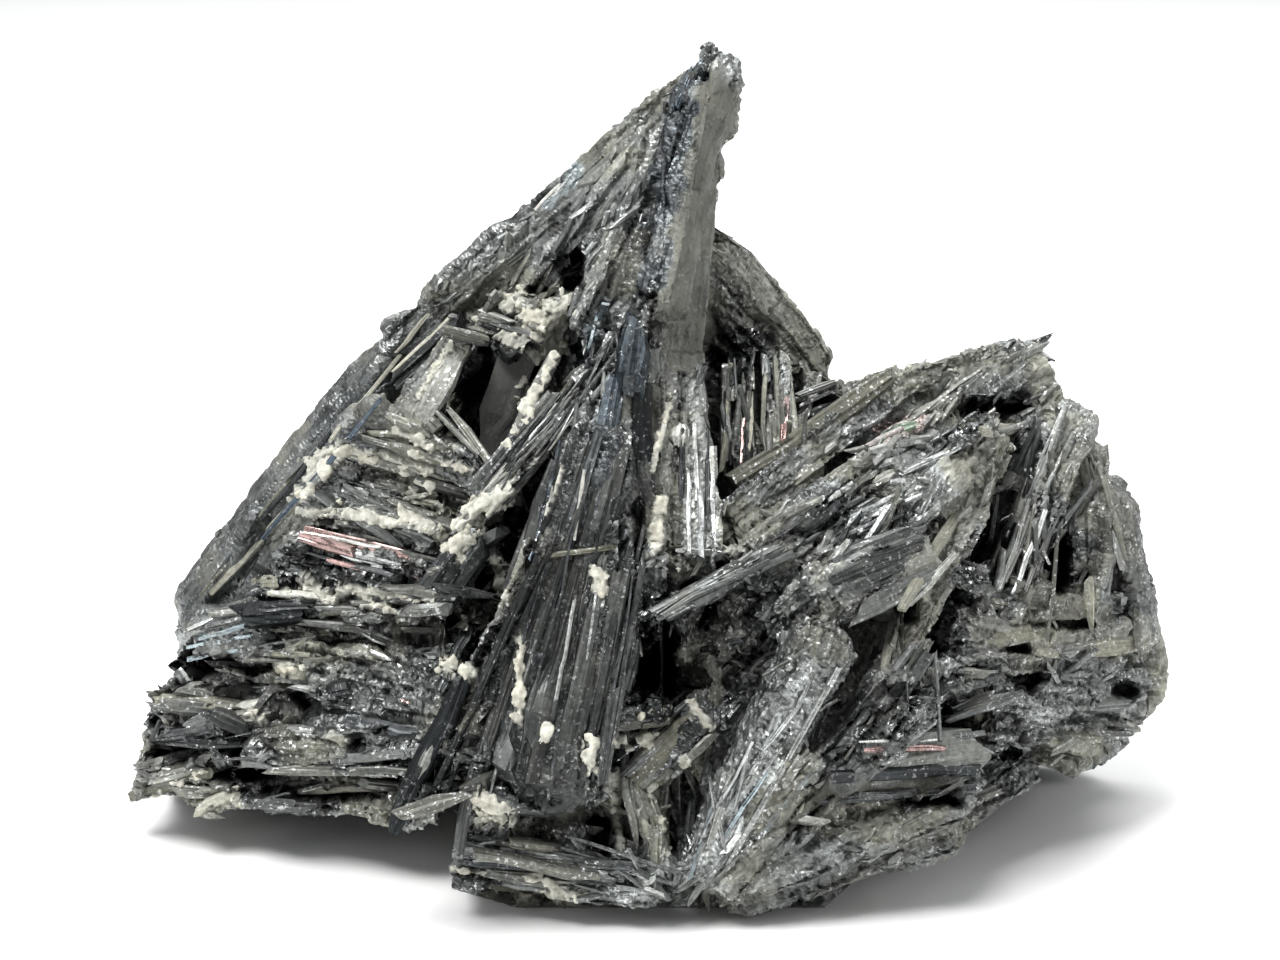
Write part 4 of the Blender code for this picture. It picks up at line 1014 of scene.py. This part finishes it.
# ---- single blades: u0, v0, u1, v1, width in drawing units, finish, lift ----
SINGLES = [
    (605, 306, 582, 368, 9, "C", 4), (598, 312, 588, 350, 4, "C", 5), (515, 490, 488, 546, 9, "H", 3), 
    (392, 372, 452, 316, 4, "P", 5), (560, 396, 506, 462, 5, "L", 5), (556, 402, 484, 492, 4, "W", 4),
    # the near-black "N" blade at (644, 384) lies over the wide dark face: painted shade
    (550, 556, 614, 547, 7, "G", 3), (644, 384, 640, 520, 28, "N", 1), (628, 376, 628, 396, 14, "D", 2), (668, 406, 656, 458, 5, "W", 2),
    (683, 428, 680, 500, 6, "S", 1), (688, 470, 690, 552, 6, "S", 2), (695, 424, 697, 500, 5, "H", 2), (700, 490, 702, 556, 7, "S", 2), (707, 428, 708, 520, 5, "G", 1), (712, 470, 714, 555, 6, "S", 1), (719, 440, 718, 550, 6, "G", 1),
    (680, 551, 722, 554, 8, "H", 2), (781, 546, 656, 612, 3, "S", 3), (770, 560, 664, 613, 8, "D", 2), (746, 554, 700, 578, 3, "P", 4),
    (302, 539, 352, 553, 15, "I", 6), (350, 551, 400, 563, 13, "S", 5), (306, 552, 392, 576, 6, "D", 3), (300, 532, 380, 547, 4, "H", 6),
    (346, 776, 395, 775, 5, "S", 2), (283, 791, 391, 788, 7, "P", 2), (213, 825, 389, 822, 10, "P", 1), (287, 728, 312, 732, 11, "H", 4),
    (235, 706, 261, 702, 9, "W", 3), (276, 676, 300, 674, 22, "P", 3), (158, 700, 235, 706, 20, "B", 2), (250, 585, 272, 583, 18, "P", 3),
    (274, 593, 322, 596, 9, "W", 2), (236, 617, 294, 612, 28, "D", 2), (186, 648, 250, 636, 6, "C", 1), (196, 640, 254, 622, 7, "C", 0),
    (188, 630, 240, 606, 5, "S", 2), (186, 660, 236, 650, 6, "C", 0), (270, 654, 309, 655, 9, "G", 2), (369, 650, 391, 660, 5, "K", 3),
    (400, 700, 408, 703, 5, "K", 3), (128, 798, 206, 774, 16, "B", 4), (150, 814, 216, 798, 14, "P", 4), (140, 768, 198, 752, 14, "B", 3), (146, 738, 214, 728, 15, "G", 3), (196, 812, 240, 790, 16, "P", 3), (160, 700, 226, 706, 17, "B", 4), (345, 690, 300, 700, 20, "G", 1),
    (340, 720, 420, 735, 22, "D", 1), (330, 760, 420, 752, 12, "G", 2), (240, 760, 330, 768, 14, "D", 2), (150, 735, 225, 742, 12, "D", 2),
    (735, 482, 892, 376, 24, "B", 1), (744, 418, 741, 462, 4, "K", 3), (752, 392, 750, 450, 4, "P", 2), (786, 396, 784, 440, 8, "I", 2),
    # the near-black "N" blade at (806, 420) fills a dark gap: painted shade
    (806, 420, 850, 400, 6, "N", 2), (728, 400, 722, 470, 7, "G", 2), (766, 372, 762, 440, 5, "P", 2),
    (712, 706, 632, 778, 34, "B", 1), (628, 886, 652, 876, 14, "H", 3), (640, 870, 668, 892, 8, "S", 2), (600, 872, 640, 880, 7, "S", 2),
    (885, 434, 913, 424, 12, "E", 2), (874, 484, 895, 472, 13, "W", 2), (985, 430, 1022, 425, 13, "P", 2),
    (965, 500, 902, 606, 13, "P", 1), (895, 612, 882, 676, 10, "P", 1), (850, 562, 925, 538, 4, "S", 4), (985, 640, 1034, 632, 22, "P", 1),
    (1080, 652, 1150, 640, 26, "B", 1), (813, 674, 796, 712, 6, "S", 1), (800, 706, 762, 752, 6, "C", 1), (766, 744, 730, 792, 5, "S", 1),
    (738, 780, 702, 852, 7, "S", 1), (752, 742, 700, 840, 4, "C", 1), (716, 800, 690, 878, 6, "C", 1), (770, 768, 716, 850, 5, "C", 1),
    (834, 778, 978, 769, 15, "D", 3), (826, 800, 974, 788, 12, "D", 3), (866, 750, 946, 747, 9, "K", 5), (860, 742, 940, 740, 4, "H", 5),
    (1000, 590, 1030, 500, 8, "G", 2), (1013, 592, 1046, 510, 7, "S", 2), (1026, 590, 1062, 505, 7, "D", 2), (996, 580, 1012, 515, 6, "G", 2),
    (1040, 592, 1075, 520, 8, "G", 2), (689, 76, 677, 106, 9, "L", 1), (576, 171, 548, 202, 6, "C", 1), (560, 184, 530, 214, 4, "W", 1),
    (333, 463, 300, 498, 8, "P", 1), (296, 502, 210, 594, 9, "P", 1), (404, 350, 330, 440, 5, "P", 1), (372, 378, 250, 524, 4, "G", 1),
    (352, 404, 206, 584, 5, "D", 1), (322, 440, 200, 596, 3, "P", 1), (380, 400, 262, 540, 6, "D", 1), (430, 312, 396, 352, 6, "P", 1),
    # thin strips along the spine stand for the lit edges of its blades; their bright H and W finishes are painted
    # highlights
    (612, 480, 566, 700, 3, "S", 4), (590, 470, 516, 770, 3, "G", 4), (596, 590, 586, 660, 3, "S", 3), (560, 520, 500, 720, 3, "L", 4),
    (634, 560, 604, 760, 3, "G", 4), (575, 600, 556, 700, 4, "H", 3), (547, 500, 530, 560, 4, "L", 4), (536, 640, 488, 800, 3, "S", 4),
    (584, 470, 574, 540, 4, "W", 3), (560, 440, 548, 500, 4, "L", 3), (605, 640, 590, 720, 3, "S", 4), (556, 740, 548, 800, 4, "G", 3), (870, 452, 930, 438, 10, "H", 1), (900, 474, 960, 446, 8, "S", 2),
    (830, 500, 880, 470, 7, "H", 2), (846, 520, 900, 492, 6, "S", 2), (770, 540, 812, 512, 6, "S", 2), (1084, 456, 1124, 570, 9, "G", 1),
    (470, 622, 440, 690, 13, "D", 2), (462, 678, 393, 828, 24, "D", 3), (446, 700, 412, 782, 7, "S", 4), (700, 650, 740, 640, 8, "S", 1),
    (460, 862, 560, 872, 9, "D", 3), (500, 850, 600, 862, 7, "S", 3), (545, 892, 590, 896, 12, "P", 3), (480, 884, 540, 892, 8, "P", 2),
]


def singles(heap, skin, solid):
    """Blades picked out one by one, laid on what the front view sees between their two ends."""
    for u0, v0, u1, v1, width, letter, lift in SINGLES:
        l = np.linspace(0.05, 0.95, 7)
        good, base, normal = skin.hits(u0 + (u1 - u0) * l, v0 + (v1 - v0) * l)
        if good.sum() < 4:
            continue
        far, place = np.linalg.norm(base[good] - EYE, axis=1), l[good]
        slope, near = np.polyfit(place, far, 1)
        for _ in range(2):   # one or two of the points may look into a hole
            off = np.abs(near + slope * place - far)
            if off.max() < 3 or len(far) < 6:
                break
            far, place = np.delete(far, off.argmax()), np.delete(place, off.argmax())
            slope, near = np.polyfit(place, far, 1)
        off = np.sort(near + slope * place - far)
        near -= off[int(0.7 * (len(off) - 1))]
        size = far.mean() / REACH / SCALE
        w = width * size
        t = min(0.5 * w, 1.6)
        stand = np.sort(far - (near + slope * place - lift * size))   # how far the blade's face stands out of the skin
        near += max(0.0, stand[int(0.45 * (len(stand) - 1))] - 0.7 * t - 0.5 * max(lift - 3, 0) * size)
        if stand[-1] > 5.0:
            continue
        a = EYE + unit(ray(u0, v0)) * (near - lift * size)
        b = EYE + unit(ray(u1, v1)) * (near + slope - lift * size)
        face = unit(normal[good].mean(0) * 0.35 - AHEAD * 0.65 + RNG.normal(0, .08, 3))
        way = unit(b - a)
        face = unit(face - way * (way @ face))
        side = np.cross(way, face)
        a, b = a - face * (0.5 * t), b - face * (0.5 * t)
        if not held(solid, a[None], b[None])[0]:
            continue
        blades(heap, a[None], b[None], side[None], face[None], np.array([w]), np.array([t]), [letter], shape=WIDE, rings=5,
               bend=0.008, ragged=0.35, relief=0.035, seen=np.ones(1), blend=0.0)


# ---- pale crusts: u0, v0, u1, v1, half width, grains, size in mm -----------
CRUSTS = [
    (558, 338, 508, 446, 8, 130, 1.0), (566, 300, 556, 345, 8, 60, .9), (508, 489, 452, 551, 11, 130, 1.0), (495, 560, 500, 593, 6, 40, .9), (397, 512, 445, 536, 8, 60, .9), (316, 466, 346, 450, 9, 60, .9),
    (335, 508, 390, 524, 7, 60, .8), (520, 640, 519, 718, 4, 50, .8), (445, 664, 466, 674, 8, 40, .8), (487, 808, 494, 812, 12, 90, .9),
    (530, 872, 572, 902, 8, 60, .8), (400, 470, 430, 488, 7, 40, .8), (410, 455, 470, 470, 4, 40, .7), (545, 330, 552, 352, 8, 50, .8),
    (500, 300, 540, 320, 10, 70, .9),
    (457, 526, 485, 498, 9, 90, 1.0), (493, 560, 494, 578, 6, 30, .9), (520, 300, 552, 350, 16, 90, .9),
    (524, 380, 524, 420, 7, 50, .9), (535, 355, 548, 372, 8, 40, .9), (470, 318, 520, 345, 7, 30, .7),
    (330, 465, 300, 498, 7, 50, .9), (353, 455, 428, 474, 5, 50, .8), (300, 512, 344, 520, 5, 26, .8),
    (344, 512, 398, 522, 5, 30, .7), (455, 335, 420, 395, 4, 24, .7), (598, 574, 600, 586, 9, 34, .9),
    (476, 792, 507, 820, 12, 110, .9), (522, 645, 518, 722, 4, 40, .8), (546, 728, 546, 738, 6, 20, .8),
    (588, 745, 653, 737, 7, 60, 1.0), (592, 748, 592, 770, 7, 34, 1.0), (448, 660, 462, 668, 7, 26, .8),
    (671, 394, 654, 470, 3, 34, .6), (663, 498, 654, 549, 6, 44, .8), (685, 760, 700, 775, 8, 24, .9),
    (655, 790, 668, 850, 5, 26, .8), (610, 775, 622, 845, 4, 26, .8), (545, 300, 562, 318, 7, 24, .8),
    (300, 582, 333, 600, 5, 26, .8), (270, 591, 290, 594, 6, 18, .8), (365, 600, 400, 612, 5, 18, .8),
    (340, 590, 430, 600, 5, 24, .7), (205, 772, 150, 796, 4, 26, .7), (280, 670, 300, 668, 5, 16, .8),
    (240, 712, 262, 712, 5, 16, .8), (700, 650, 720, 690, 7, 26, .7), (690, 700, 712, 730, 6, 18, .8),
    (448, 868, 520, 884, 3, 24, .7), (640, 715, 676, 706, 3, 16, .6), (395, 430, 430, 450, 5, 24, .8),
    (560, 470, 540, 520, 4, 12, .6), (410, 490, 440, 500, 4, 20, .8), (330, 735, 342, 742, 5, 14, .7),
    (232, 798, 245, 812, 4, 12, .7), (512, 490, 520, 500, 5, 16, .8), (720, 520, 728, 548, 5, 16, .7),
]


def ball(level):
    mesh = bmesh.new()
    bmesh.ops.create_icosphere(mesh, subdivisions=level, radius=1.0)
    shape = np.array([v.co for v in mesh.verts])
    faces = [[v.index for v in f.verts] for f in mesh.faces]
    mesh.free()
    return shape, faces


def crusts(heap, skin, core):
    """Mealy patches of small knobbly grains, flattened on what the front view sees there, and a few all round."""
    us, vs, rs = [], [], []
    for u0, v0, u1, v1, half, count, size in CRUSTS:
        count = int(count * 1.5)
        l = RNG.random(count)
        us.append(u0 + (u1 - u0) * l + RNG.normal(0, half * .46, count))
        vs.append(v0 + (v1 - v0) * l + RNG.normal(0, half * .46, count))
        rs.append((size * .38 * np.exp(RNG.normal(0, .35, count))).clip(.18, .62))
    us, vs, rs = np.concatenate(us), np.concatenate(vs), np.concatenate(rs)
    clumped = clouds(np.stack([us / 11, vs / 11, us * 0 + 3.7], axis=1), 35) + RNG.normal(0, .12, len(us)) > -0.12
    us, vs, rs = us[clumped], vs[clumped], rs[clumped]
    good, base, normal = skin.hits(us, vs)
    r = rs[good]
    centres = base[good] + normal[good] * (r * RNG.uniform(-.35, .05, len(r)))[:, None]
    points, out = arrays(core.data)
    pick = RNG.integers(0, len(points), 9000)
    clump = clouds(points[pick] * 0.22, 31)
    pick = pick[(clump > 0.52) & (points[pick, 2] > 3) & (points[pick, 1] > SPLIT + 2)][:420]
    centres = np.concatenate([centres, points[pick] + out[pick] * 0.1])
    normals = np.concatenate([normal[good], out[pick]])
    sizes = np.concatenate([r, 0.22 * np.exp(RNG.normal(0, .4, len(pick)))])
    big = (sizes > 0.27) & (RNG.random(len(sizes)) < 0.45)
    for level, part in ((2, big), (1, ~big)):
        shape, faces = ball(level)
        c, m, r = centres[part], normals[part], sizes[part]
        n, k = len(c), len(shape)
        knob = 1.0 + RNG.normal(0, .22 if level == 1 else .14, (n, k))
        stretch = RNG.uniform(.65, 1.45, (n, 1, 3))
        local = shape[None] * knob[..., None] * stretch * r[:, None, None]
        local = local - 0.45 * m[:, None, :] * (local * m[:, None, :]).sum(-1, keepdims=True)
        points = c[:, None, :] + local
        tone = RNG.normal(1.0, .10, (n, 1)).clip(.65, 1.25)
        warm = RNG.random((n, 1))
        tint = (CHALK * 1.15 * (1 - warm * .5) + np.array([.50, .46, .38]) * warm * .5) * tone
        fin = np.stack([RNG.uniform(.55, .8, n), np.zeros(n), np.full(n, .3)], axis=1)
        heap.add(points, faces, tint, fin, points * 1.0)


def merged(body, voxel):
    """Joins overlapping grains into one lumpy skin."""
    remesh = body.modifiers.new("skin", "REMESH")
    remesh.mode = "VOXEL"
    remesh.voxel_size = voxel * MM
    even = body.modifiers.new("even", "SMOOTH")
    even.factor, even.iterations = 0.5, 1
    graph = bpy.context.evaluated_depsgraph_get()
    data = bpy.data.meshes.new_from_object(body.evaluated_get(graph))
    body.modifiers.clear()
    body.data = data
    points, normals = arrays(data)
    rise = 0.07 * clouds(points * 2.4, 52) + 0.04 * clouds(points * 5.0, 53)
    moved = points + normals * rise[:, None]
    moved[:, 2] = np.maximum(moved[:, 2], 0.0)
    data.vertices.foreach_set("co", (moved * MM).astype(np.float32).reshape(-1))
    data.update()
    data.shade_smooth()
    tone = (1.02 + 0.30 * clouds(points * 0.55, 54) + 0.25 * clouds(points * 2.4, 52))[:, None].clip(.5, 1.4)
    warm = np.clip(0.4 + 0.6 * clouds(points * 0.20, 55), 0, 1)[:, None]
    tint = (CHALK * 1.12 * (1 - warm) + np.array([.46, .43, .365]) * warm) * tone
    fin = np.tile(np.array([.7, 0.0, .3]), (len(points), 1))
    paint(data, tint, fin, points)


class Skin:
    """What the front view sees: rays from the eye against several meshes."""

    def __init__(self, *objects):
        graph = bpy.context.evaluated_depsgraph_get()
        self.trees = [BVHTree.FromObject(o, graph) for o in objects]

    def gap(self, points):
        """Distance in mm from each point out to the nearest surface, below zero inside."""
        gaps = np.full(len(points), 1e9)
        for i, p in enumerate(points):
            spot = Vector(p * MM)
            for tree in self.trees:
                hit, out, _, far = tree.find_nearest(spot)
                if hit is not None:
                    far = far / MM if (spot - hit) @ out > 0 else -far / MM
                    gaps[i] = min(gaps[i], far)
        return gaps

    def hits(self, u, v):
        ways = unit(ray(u, v))
        good, base, normal = np.zeros(len(ways), bool), np.zeros((len(ways), 3)), np.zeros((len(ways), 3))
        eye = Vector(EYE * MM)
        for i, way in enumerate(ways):
            nearest = 1e9
            for tree in self.trees:
                hit, out, _, far = tree.ray_cast(eye, Vector(way))
                if hit is not None and far < nearest:
                    nearest, good[i] = far, True
                    base[i], normal[i] = np.array(hit) / MM, np.array(out)
            if good[i] and normal[i] @ way > 0:
                normal[i] = -normal[i]
        return good, base, normal


# ---- materials ---------------------------------------------------------------
def shader(name):
    material = bpy.data.materials.new(name)
    material.use_nodes = True
    tree = material.node_tree
    return material, tree, tree.nodes["Principled BSDF"]


def node(tree, kind, **settings):
    made = tree.nodes.new(kind)
    for key, value in settings.items():
        setattr(made, key, value)
    return made


def metal_material(name, grain_scale, grain_depth, speck_depth):
    """Lead-grey metal: colour and finish from each point, striations along the grain, painted glints, and a thin film
    of dust.
    """
    material, tree, bsdf = shader(name)
    link = tree.links.new

    def noise_at(vector, scale, detail, rough=0.5):
        made = node(tree, "ShaderNodeTexNoise")
        made.inputs["Scale"].default_value = scale
        made.inputs["Detail"].default_value = detail
        made.inputs["Roughness"].default_value = rough
        link(vector, made.inputs["Vector"])
        return made.outputs["Fac"]

    def ranged(value, low, high, to_low, to_high):
        made = node(tree, "ShaderNodeMapRange")
        made.inputs["From Min"].default_value, made.inputs["From Max"].default_value = low, high
        made.inputs["To Min"].default_value, made.inputs["To Max"].default_value = to_low, to_high
        link(value, made.inputs["Value"])
        return made.outputs[0]

    def worked(kind, a, b, clamp=False):
        made = node(tree, "ShaderNodeMath", operation=kind, use_clamp=clamp)
        for socket, value in ((made.inputs[0], a), (made.inputs[1], b)):
            if isinstance(value, float):
                socket.default_value = value
            else:
                link(value, socket)
        return made.outputs[0]

    def mixed_colour(share, a, b):
        made = node(tree, "ShaderNodeMix", data_type="RGBA")
        link(share, made.inputs["Factor"])
        link(a, made.inputs["A"])
        made.inputs["B"].default_value = b
        return made.outputs["Result"]

    tint = node(tree, "ShaderNodeAttribute", attribute_name="tint")
    fin = node(tree, "ShaderNodeAttribute", attribute_name="fin")
    grain = node(tree, "ShaderNodeAttribute", attribute_name="grain")
    split = node(tree, "ShaderNodeSeparateXYZ")
    link(fin.outputs["Vector"], split.inputs[0])
    stretch = node(tree, "ShaderNodeVectorMath", operation="MULTIPLY")
    stretch.inputs[1].default_value = grain_scale
    link(grain.outputs["Vector"], stretch.inputs[0])
    place = node(tree, "ShaderNodeTexCoord").outputs["Object"]
    streak = noise_at(stretch.outputs[0], 1.0, 4.0, 0.7)
    speck = noise_at(place, 1700.0, 3.0, 0.6)
    glint = noise_at(place, 2300.0, 1.0)
    cloud = noise_at(place, 170.0, 5.0, 0.6)
    # colour: streaks and specks lighter and darker
    strong = ranged(split.outputs["Z"], 0.0, 1.0, 0.25, 1.0)
    tone = worked("MULTIPLY", worked("ADD", 1.0, worked("MULTIPLY", strong, ranged(streak, 0.30, 0.70, -0.50, 0.55))),
                  worked("ADD", 1.0, worked("MULTIPLY", strong, ranged(speck, 0.32, 0.68, -0.45, 0.50))))
    lit = node(tree, "ShaderNodeVectorMath", operation="SCALE")
    link(tint.outputs["Color"], lit.inputs[0])
    link(tone, lit.inputs["Scale"])
    # dust lies on what faces up, in clouds
    geometry = node(tree, "ShaderNodeNewGeometry")
    axis = node(tree, "ShaderNodeSeparateXYZ")
    link(geometry.outputs["Normal"], axis.inputs[0])
    up = ranged(axis.outputs["Z"], -0.35, 0.9, 0.0, 1.0)
    dust = worked("MULTIPLY", up, ranged(cloud, 0.44, 0.68, 0.04, 0.70))
    value = node(tree, "ShaderNodeRGBToBW")
    link(tint.outputs["Color"], value.inputs[0])
    dust = worked("MULTIPLY", dust, ranged(value.outputs[0], 0.02, 0.14, 0.15, 1.0))
    dust = worked("MULTIPLY", dust, ranged(split.outputs["X"], 0.62, 0.72, 1.0, 0.0))
    colour = mixed_colour(dust, lit.outputs[0], (0.172, 0.168, 0.145, 1.0))
    # painted glints: tiny specks lifted near white in colour, also smoother and more metallic
    clump = ranged(noise_at(place, 330.0, 3.0, 0.6), 0.44, 0.62, 0.0, 1.0)
    painted_glint = worked("MULTIPLY", worked("MULTIPLY", ranged(glint, 0.60, 0.65, 0.0, 1.0), clump), split.outputs["Z"])
    colour = mixed_colour(painted_glint, colour, (0.82, 0.83, 0.83, 1.0))
    link(colour, bsdf.inputs["Base Color"])
    # finish
    rough = worked("ADD", worked("MULTIPLY", speck, 0.24), split.outputs["X"])
    rough = worked("ADD", worked("MULTIPLY", dust, 0.30), rough)
    rough = worked("SUBTRACT", rough, 0.12)
    rough = worked("SUBTRACT", rough, worked("MULTIPLY", painted_glint, 0.16), clamp=True)
    link(rough, bsdf.inputs["Roughness"])
    dull = worked("SUBTRACT", 1.0, worked("MULTIPLY", dust, 0.75))
    metal = worked("ADD", worked("MULTIPLY", split.outputs["Y"], dull), worked("MULTIPLY", painted_glint, 0.5), clamp=True)
    link(metal, bsdf.inputs["Metallic"])
    # relief
    fine = node(tree, "ShaderNodeBump")
    fine.inputs["Strength"].default_value = 0.85
    fine.inputs["Distance"].default_value = grain_depth * MM
    link(streak, fine.inputs["Height"])
    coarse = node(tree, "ShaderNodeBump")
    coarse.inputs["Strength"].default_value = 0.7
    coarse.inputs["Distance"].default_value = speck_depth * MM
    link(speck, coarse.inputs["Height"])
    link(fine.outputs[0], coarse.inputs["Normal"])
    link(coarse.outputs[0], bsdf.inputs["Normal"])
    return material


def crust_material():
    material, tree, bsdf = shader("pale_crust")
    link = tree.links.new
    tint = node(tree, "ShaderNodeAttribute", attribute_name="tint")
    place = node(tree, "ShaderNodeTexCoord")
    mottle = node(tree, "ShaderNodeTexNoise")
    mottle.inputs["Scale"].default_value = 1400.0
    mottle.inputs["Detail"].default_value = 4.0
    link(place.outputs["Object"], mottle.inputs["Vector"])
    tone = node(tree, "ShaderNodeMapRange")
    tone.inputs["From Min"].default_value, tone.inputs["From Max"].default_value = 0.3, 0.7
    tone.inputs["To Min"].default_value, tone.inputs["To Max"].default_value = 0.6, 1.25
    link(mottle.outputs["Fac"], tone.inputs["Value"])
    lit = node(tree, "ShaderNodeVectorMath", operation="SCALE")
    link(tint.outputs["Color"], lit.inputs[0])
    link(tone.outputs[0], lit.inputs["Scale"])
    link(lit.outputs[0], bsdf.inputs["Base Color"])
    rough = node(tree, "ShaderNodeMapRange")
    rough.inputs["To Min"].default_value, rough.inputs["To Max"].default_value = 0.5, 0.9
    link(mottle.outputs["Fac"], rough.inputs["Value"])
    link(rough.outputs[0], bsdf.inputs["Roughness"])
    bump = node(tree, "ShaderNodeBump")
    bump.inputs["Strength"].default_value = 0.7
    bump.inputs["Distance"].default_value = 0.12 * MM
    link(mottle.outputs["Fac"], bump.inputs["Height"])
    link(bump.outputs[0], bsdf.inputs["Normal"])
    return material


# ---- the studio ----------------------------------------------------------------
def studio():
    scene = bpy.context.scene
    camera = bpy.data.cameras.new("camera")
    camera.sensor_width = 36.0
    camera.lens = 36.0 * REACH / (1280 / SCALE)
    camera.clip_start, camera.clip_end = 0.01, 20.0
    eye = bpy.data.objects.new("camera", camera)
    scene.collection.objects.link(eye)
    eye.location = Vector(EYE) * MM
    eye.rotation_euler = (math.radians(90) - TILT, 0.0, 0.0)
    scene.camera = eye

    def area(name, place, size, power, target=(0, 0, 0.045), colour=(1, 1, 1)):
        light = bpy.data.lights.new(name, "AREA")
        light.shape = "RECTANGLE"
        light.size, light.size_y = size
        light.energy = power
        light.color = colour
        obj = bpy.data.objects.new(name, light)
        obj.location = place
        obj.rotation_euler = (Vector(target) - Vector(place)).to_track_quat("-Z", "Y").to_euler()
        scene.collection.objects.link(obj)

    area("key", (-0.25, -0.25, 0.75), (0.5, 0.35), 8.2)
    area("top_back", (0.2, 0.55, 0.70), (0.7, 0.35), 6.0)
    area("right", (0.75, -0.15, 0.35), (0.20, 0.45), 1.9)
    area("left_low", (-0.70, -0.30, 0.22), (0.16, 0.40), 1.1)

    world = bpy.data.worlds.new("studio")
    scene.world = world
    world.use_nodes = True
    tree = world.node_tree
    tree.nodes.clear()
    link = tree.links.new
    seen = node(tree, "ShaderNodeLightPath")
    place = node(tree, "ShaderNodeTexCoord")
    axis = node(tree, "ShaderNodeSeparateXYZ")
    link(place.outputs["Generated"], axis.inputs[0])
    ramp = node(tree, "ShaderNodeValToRGB")
    ramp.color_ramp.elements[0].position, ramp.color_ramp.elements[0].color = 0.0, (0.10, 0.10, 0.10, 1)
    ramp.color_ramp.elements[1].position, ramp.color_ramp.elements[1].color = 1.0, (0.95, 0.97, 1.0, 1)
    high = node(tree, "ShaderNodeMapRange")
    high.inputs["From Min"].default_value, high.inputs["From Max"].default_value = -0.1, 0.9
    link(axis.outputs["Z"], high.inputs["Value"])
    link(high.outputs[0], ramp.inputs["Fac"])
    behind = node(tree, "ShaderNodeMapRange")
    behind.inputs["From Min"].default_value, behind.inputs["From Max"].default_value = -0.6, 0.8
    behind.inputs["To Min"].default_value, behind.inputs["To Max"].default_value = 0.35, 1.2
    link(axis.outputs["Y"], behind.inputs["Value"])
    light = node(tree, "ShaderNodeBackground")
    link(ramp.outputs["Color"], light.inputs["Color"])
    link(behind.outputs[0], light.inputs["Strength"])
    plain = node(tree, "ShaderNodeBackground")
    plain.inputs["Color"].default_value = (0.90, 0.905, 0.895, 1)
    mix = node(tree, "ShaderNodeMixShader")
    link(seen.outputs["Is Camera Ray"], mix.inputs["Fac"])
    link(light.outputs[0], mix.inputs[1])
    link(plain.outputs[0], mix.inputs[2])
    out = node(tree, "ShaderNodeOutputWorld")
    link(mix.outputs[0], out.inputs["Surface"])

    mesh = bmesh.new()
    bmesh.ops.create_grid(mesh, x_segments=1, y_segments=1, size=4.0)
    data = bpy.data.meshes.new("floor")
    mesh.to_mesh(data)
    mesh.free()
    floor = bpy.data.objects.new("floor", data)
    scene.collection.objects.link(floor)
    material, tree, bsdf = shader("floor")
    place = node(tree, "ShaderNodeTexCoord")
    soft = node(tree, "ShaderNodeTexNoise")
    soft.inputs["Scale"].default_value = 3.0
    tree.links.new(place.outputs["Object"], soft.inputs["Vector"])
    tone = node(tree, "ShaderNodeMix", data_type="RGBA")
    tree.links.new(soft.outputs["Fac"], tone.inputs["Factor"])
    tone.inputs["A"].default_value = (0.86, 0.86, 0.85, 1)
    tone.inputs["B"].default_value = (0.90, 0.90, 0.89, 1)
    tree.links.new(tone.outputs["Result"], bsdf.inputs["Base Color"])
    bsdf.inputs["Roughness"].default_value = 0.9
    data.materials.append(material)
    scene.view_settings.view_transform = "Standard"
    scene.view_settings.look = "None"
    scene.view_settings.exposure = 0.0


def main():
    parts = []
    for name, low, high, voxel in (
            ("core_left", (-80, -60, -5), (-22.0, SPLIT + 1.5, 120), 0.37),
            ("core_spine", (-23.0, -60, -5), (3.0, SPLIT + 1.5, 120), 0.37),
            ("core_fan", (2.0, -60, -5), (30.0, SPLIT + 1.5, 120), 0.37),
            ("core_right", (29.0, -60, -5), (80, SPLIT + 1.5, 120), 0.37),
            ("core_back", (-80, SPLIT - 1.5, -5), (80, 60, 120), 0.85)):
        body = core_part(name, low, high, voxel)
        parts.append((body, low, high, rough_core(body, low, high)))
    cores = [part[0] for part in parts]
    front, back, fine, fine_back, pale = Heap(), Heap(), Heap(), Heap(), Heap()
    solid = Skin(*cores)
    fill_bundles(front, back, solid)
    for (body, low, high, seen), count in zip(parts, (350, 350, 350, 350, 1500)):
        scatter(fine, fine_back, solid, body, seen, count, low, high)
    front_blades = front.made("blades_front")
    back_blades = back.made("blades_back")
    broken = Heap()
    skin = Skin(*cores, front_blades)
    rubble(broken, skin, solid)
    singles(broken, skin, solid)
    broken_blades = broken.made("broken_blades")
    small_front = fine.made("small_blades_front")
    small_back = fine_back.made("small_blades_back")
    crusts(pale, Skin(*cores, front_blades, broken_blades, small_front), cores[4])
    crust = pale.made("pale_crusts")
    merged(crust, 0.21)
    metal = metal_material("stibnite_blades", (3.4, 0.20, 1.0), 0.06, 0.05)
    rock = metal_material("stibnite_core", (3.0, 0.35, 3.0), 0.12, 0.16)
    for o in (front_blades, back_blades, broken_blades, small_front, small_back):
        o.data.materials.append(metal)
    for o in cores:
        o.data.materials.clear()
        o.data.materials.append(rock)
    crust.data.materials.append(crust_material())
    total = 0
    for o in (*cores, front_blades, back_blades, broken_blades, small_front, small_back, crust):
        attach(o, "root")
        o.data.calc_loop_triangles()
        total += len(o.data.loop_triangles)
        print("piece", o.name, len(o.data.loop_triangles), "triangles")
    print("total", total)
    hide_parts(NODE)
    studio()


main()
